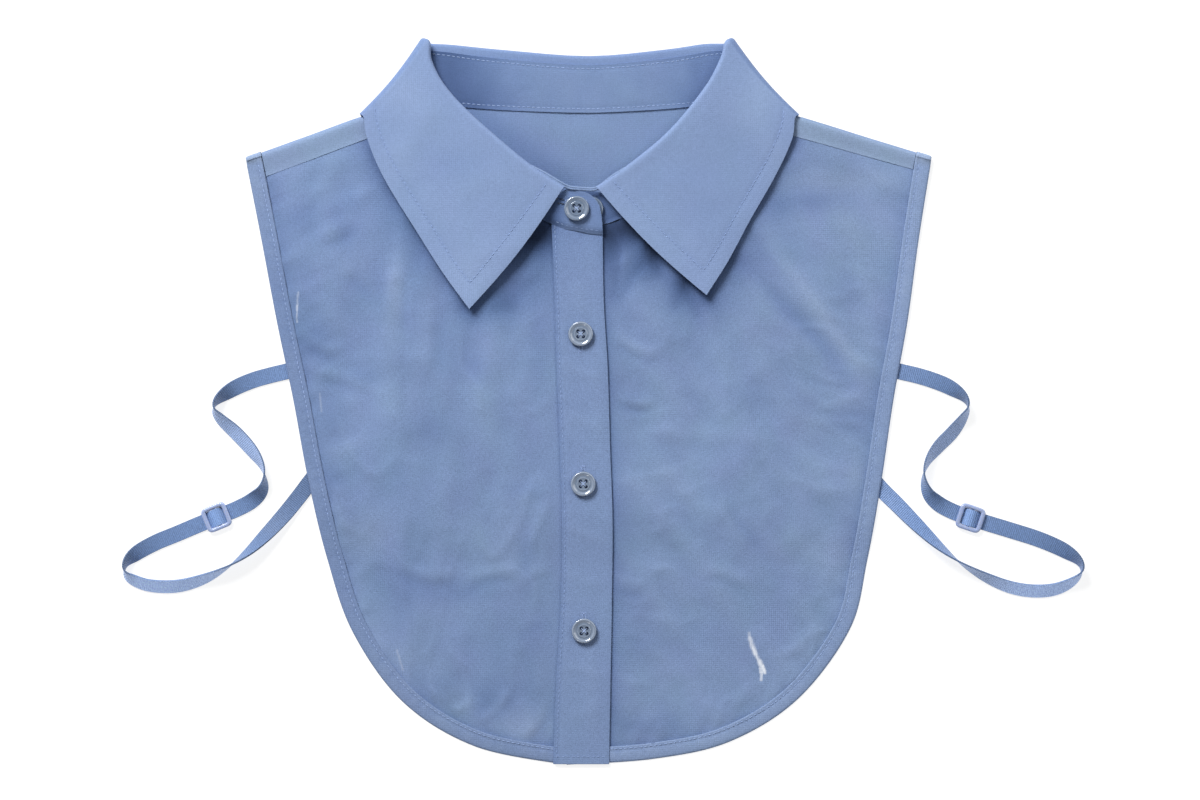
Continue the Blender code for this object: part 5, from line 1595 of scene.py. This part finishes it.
for name, x, y, z in BUTTONS:
    under = name == "button_under"
    # the button under the stand's end and the stand's own button lie in the collar's shade: painted
    # shade dims their tones
    light_share = {"button_under": 0.4, "button_stand": 0.72}.get(name, 1.0)
    shape = button_mesh(0.7 if under else 1.0, light_share)
    bmesh.ops.translate(shape, verts=shape.verts, vec=(x, y, z))
    piece = add_piece("resin_" + name, shape, [button_finish], name)
    piece.data.set_sharp_from_angle(angle=math.radians(40))

button_thread = bmesh.new()
for name, x, y, z in BUTTONS[:4]:
    for turn in (45.0, 135.0):
        c, s = math.cos(math.radians(turn)), math.sin(math.radians(turn))
        for aside in (-0.14, 0.14):
            a, b = (
                (x + reach * c - aside * s, y + reach * s + aside * c)
                for reach in (HOLE_PITCH * 0.9, -HOLE_PITCH * 0.9)
            )
            up = z + BUTTON_FACE + (0.28 if turn > 90.0 else 0.1)
            bar(button_thread, (*a, up), (*b, up), SEWING_THICK)
            for end in (a, b):
                high, low = z + BUTTON_FACE + 0.1, z - 0.4
                bar(button_thread, (*end, high), (*end, low), SEWING_THICK + 0.02)
button_thread_finish = thread("button_thread", (0.36, 0.47, 0.72))
add_piece("button_threads", button_thread, [button_thread_finish])

# Buttonholes: a slit in the placket closed by a satin stitch along both sides and a bar at its far
# end, lying along the placket, and across it in the stand, where the pulled slit gapes twice.
HOLES = [
    # middle x, middle y, direction in degrees, from, to along it, cloth, lift
    (-3.9, 33.9, -90.0, -6.0, 9.3, "placket", 0.42),
    (-2.6, -41.0, 90.0, -6.0, 9.0, "placket", 0.42),
    (-2.2, -114.5, 90.0, -6.0, 9.0, "placket", 0.42),
    (-5.9, 99.6, 180.0, -5.0, 5.6, "stand", 0.32),
]
SATIN_PITCH = 0.36
SATIN_NEAR = 0.35  # the satin stitches reach from here to there, beside the slit
SATIN_FAR = 1.25
SATIN_THICK = 0.16
holes = bmesh.new()
# the slits are dark bars laid in each opening: painted shade
slits = bmesh.new()
for x, y, turn, first, last, cloth, lift in HOLES:
    c, s = math.cos(math.radians(turn)), math.sin(math.radians(turn))
    count = round((last - first) / SATIN_PITCH)
    for n in range(count + 1):
        reach = first + (last - first) * n / count
        for near, far in ((SATIN_NEAR, SATIN_FAR), (-SATIN_FAR, -SATIN_NEAR)):
            if n >= count - 2 and near > 0:
                near = -SATIN_FAR
            ends = []
            for aside in (near, far):
                px, py = x + c * reach - s * aside, y + s * reach + c * aside
                ends.append((px, py, (on_cloth(cloth, px, py, lift) or 0.0)))
            if min(ends[0][2], ends[1][2]) > 1.0:
                bar(holes, ends[0], ends[1], SATIN_THICK)
    ends = []
    for reach in (first, last - 0.9):
        px, py = x + c * reach, y + s * reach
        ends.append((px, py, (on_cloth(cloth, px, py, lift - 0.05) or 0.0)))
    bar(slits, ends[0], ends[1], 0.2)
for start, middle, end in (((-17.2, 101.0), (-14.6, 101.4), (-11.8, 100.6)),
                           ((-15.6, 98.9), (-13.8, 99.2), (-12.0, 98.6))):
    high = [(x, y, on_cloth("stand", x, y, 0.27) or 0.0) for x, y in (start, middle, end)]
    bar(slits, high[0], high[1], 0.55)
    bar(slits, high[1], high[2], 0.5)
satin_finish = thread("buttonhole_thread", (0.27, 0.37, 0.61))
slit_finish = thread("slit_shade", (0.05, 0.075, 0.14))
add_piece("buttonhole_stitches", holes, [satin_finish])
add_piece("buttonhole_slits", slits, [slit_finish])

low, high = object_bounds()
{"cad": [list(cad_low), list(cad_high)], "visual": [list(low), list(high)]}
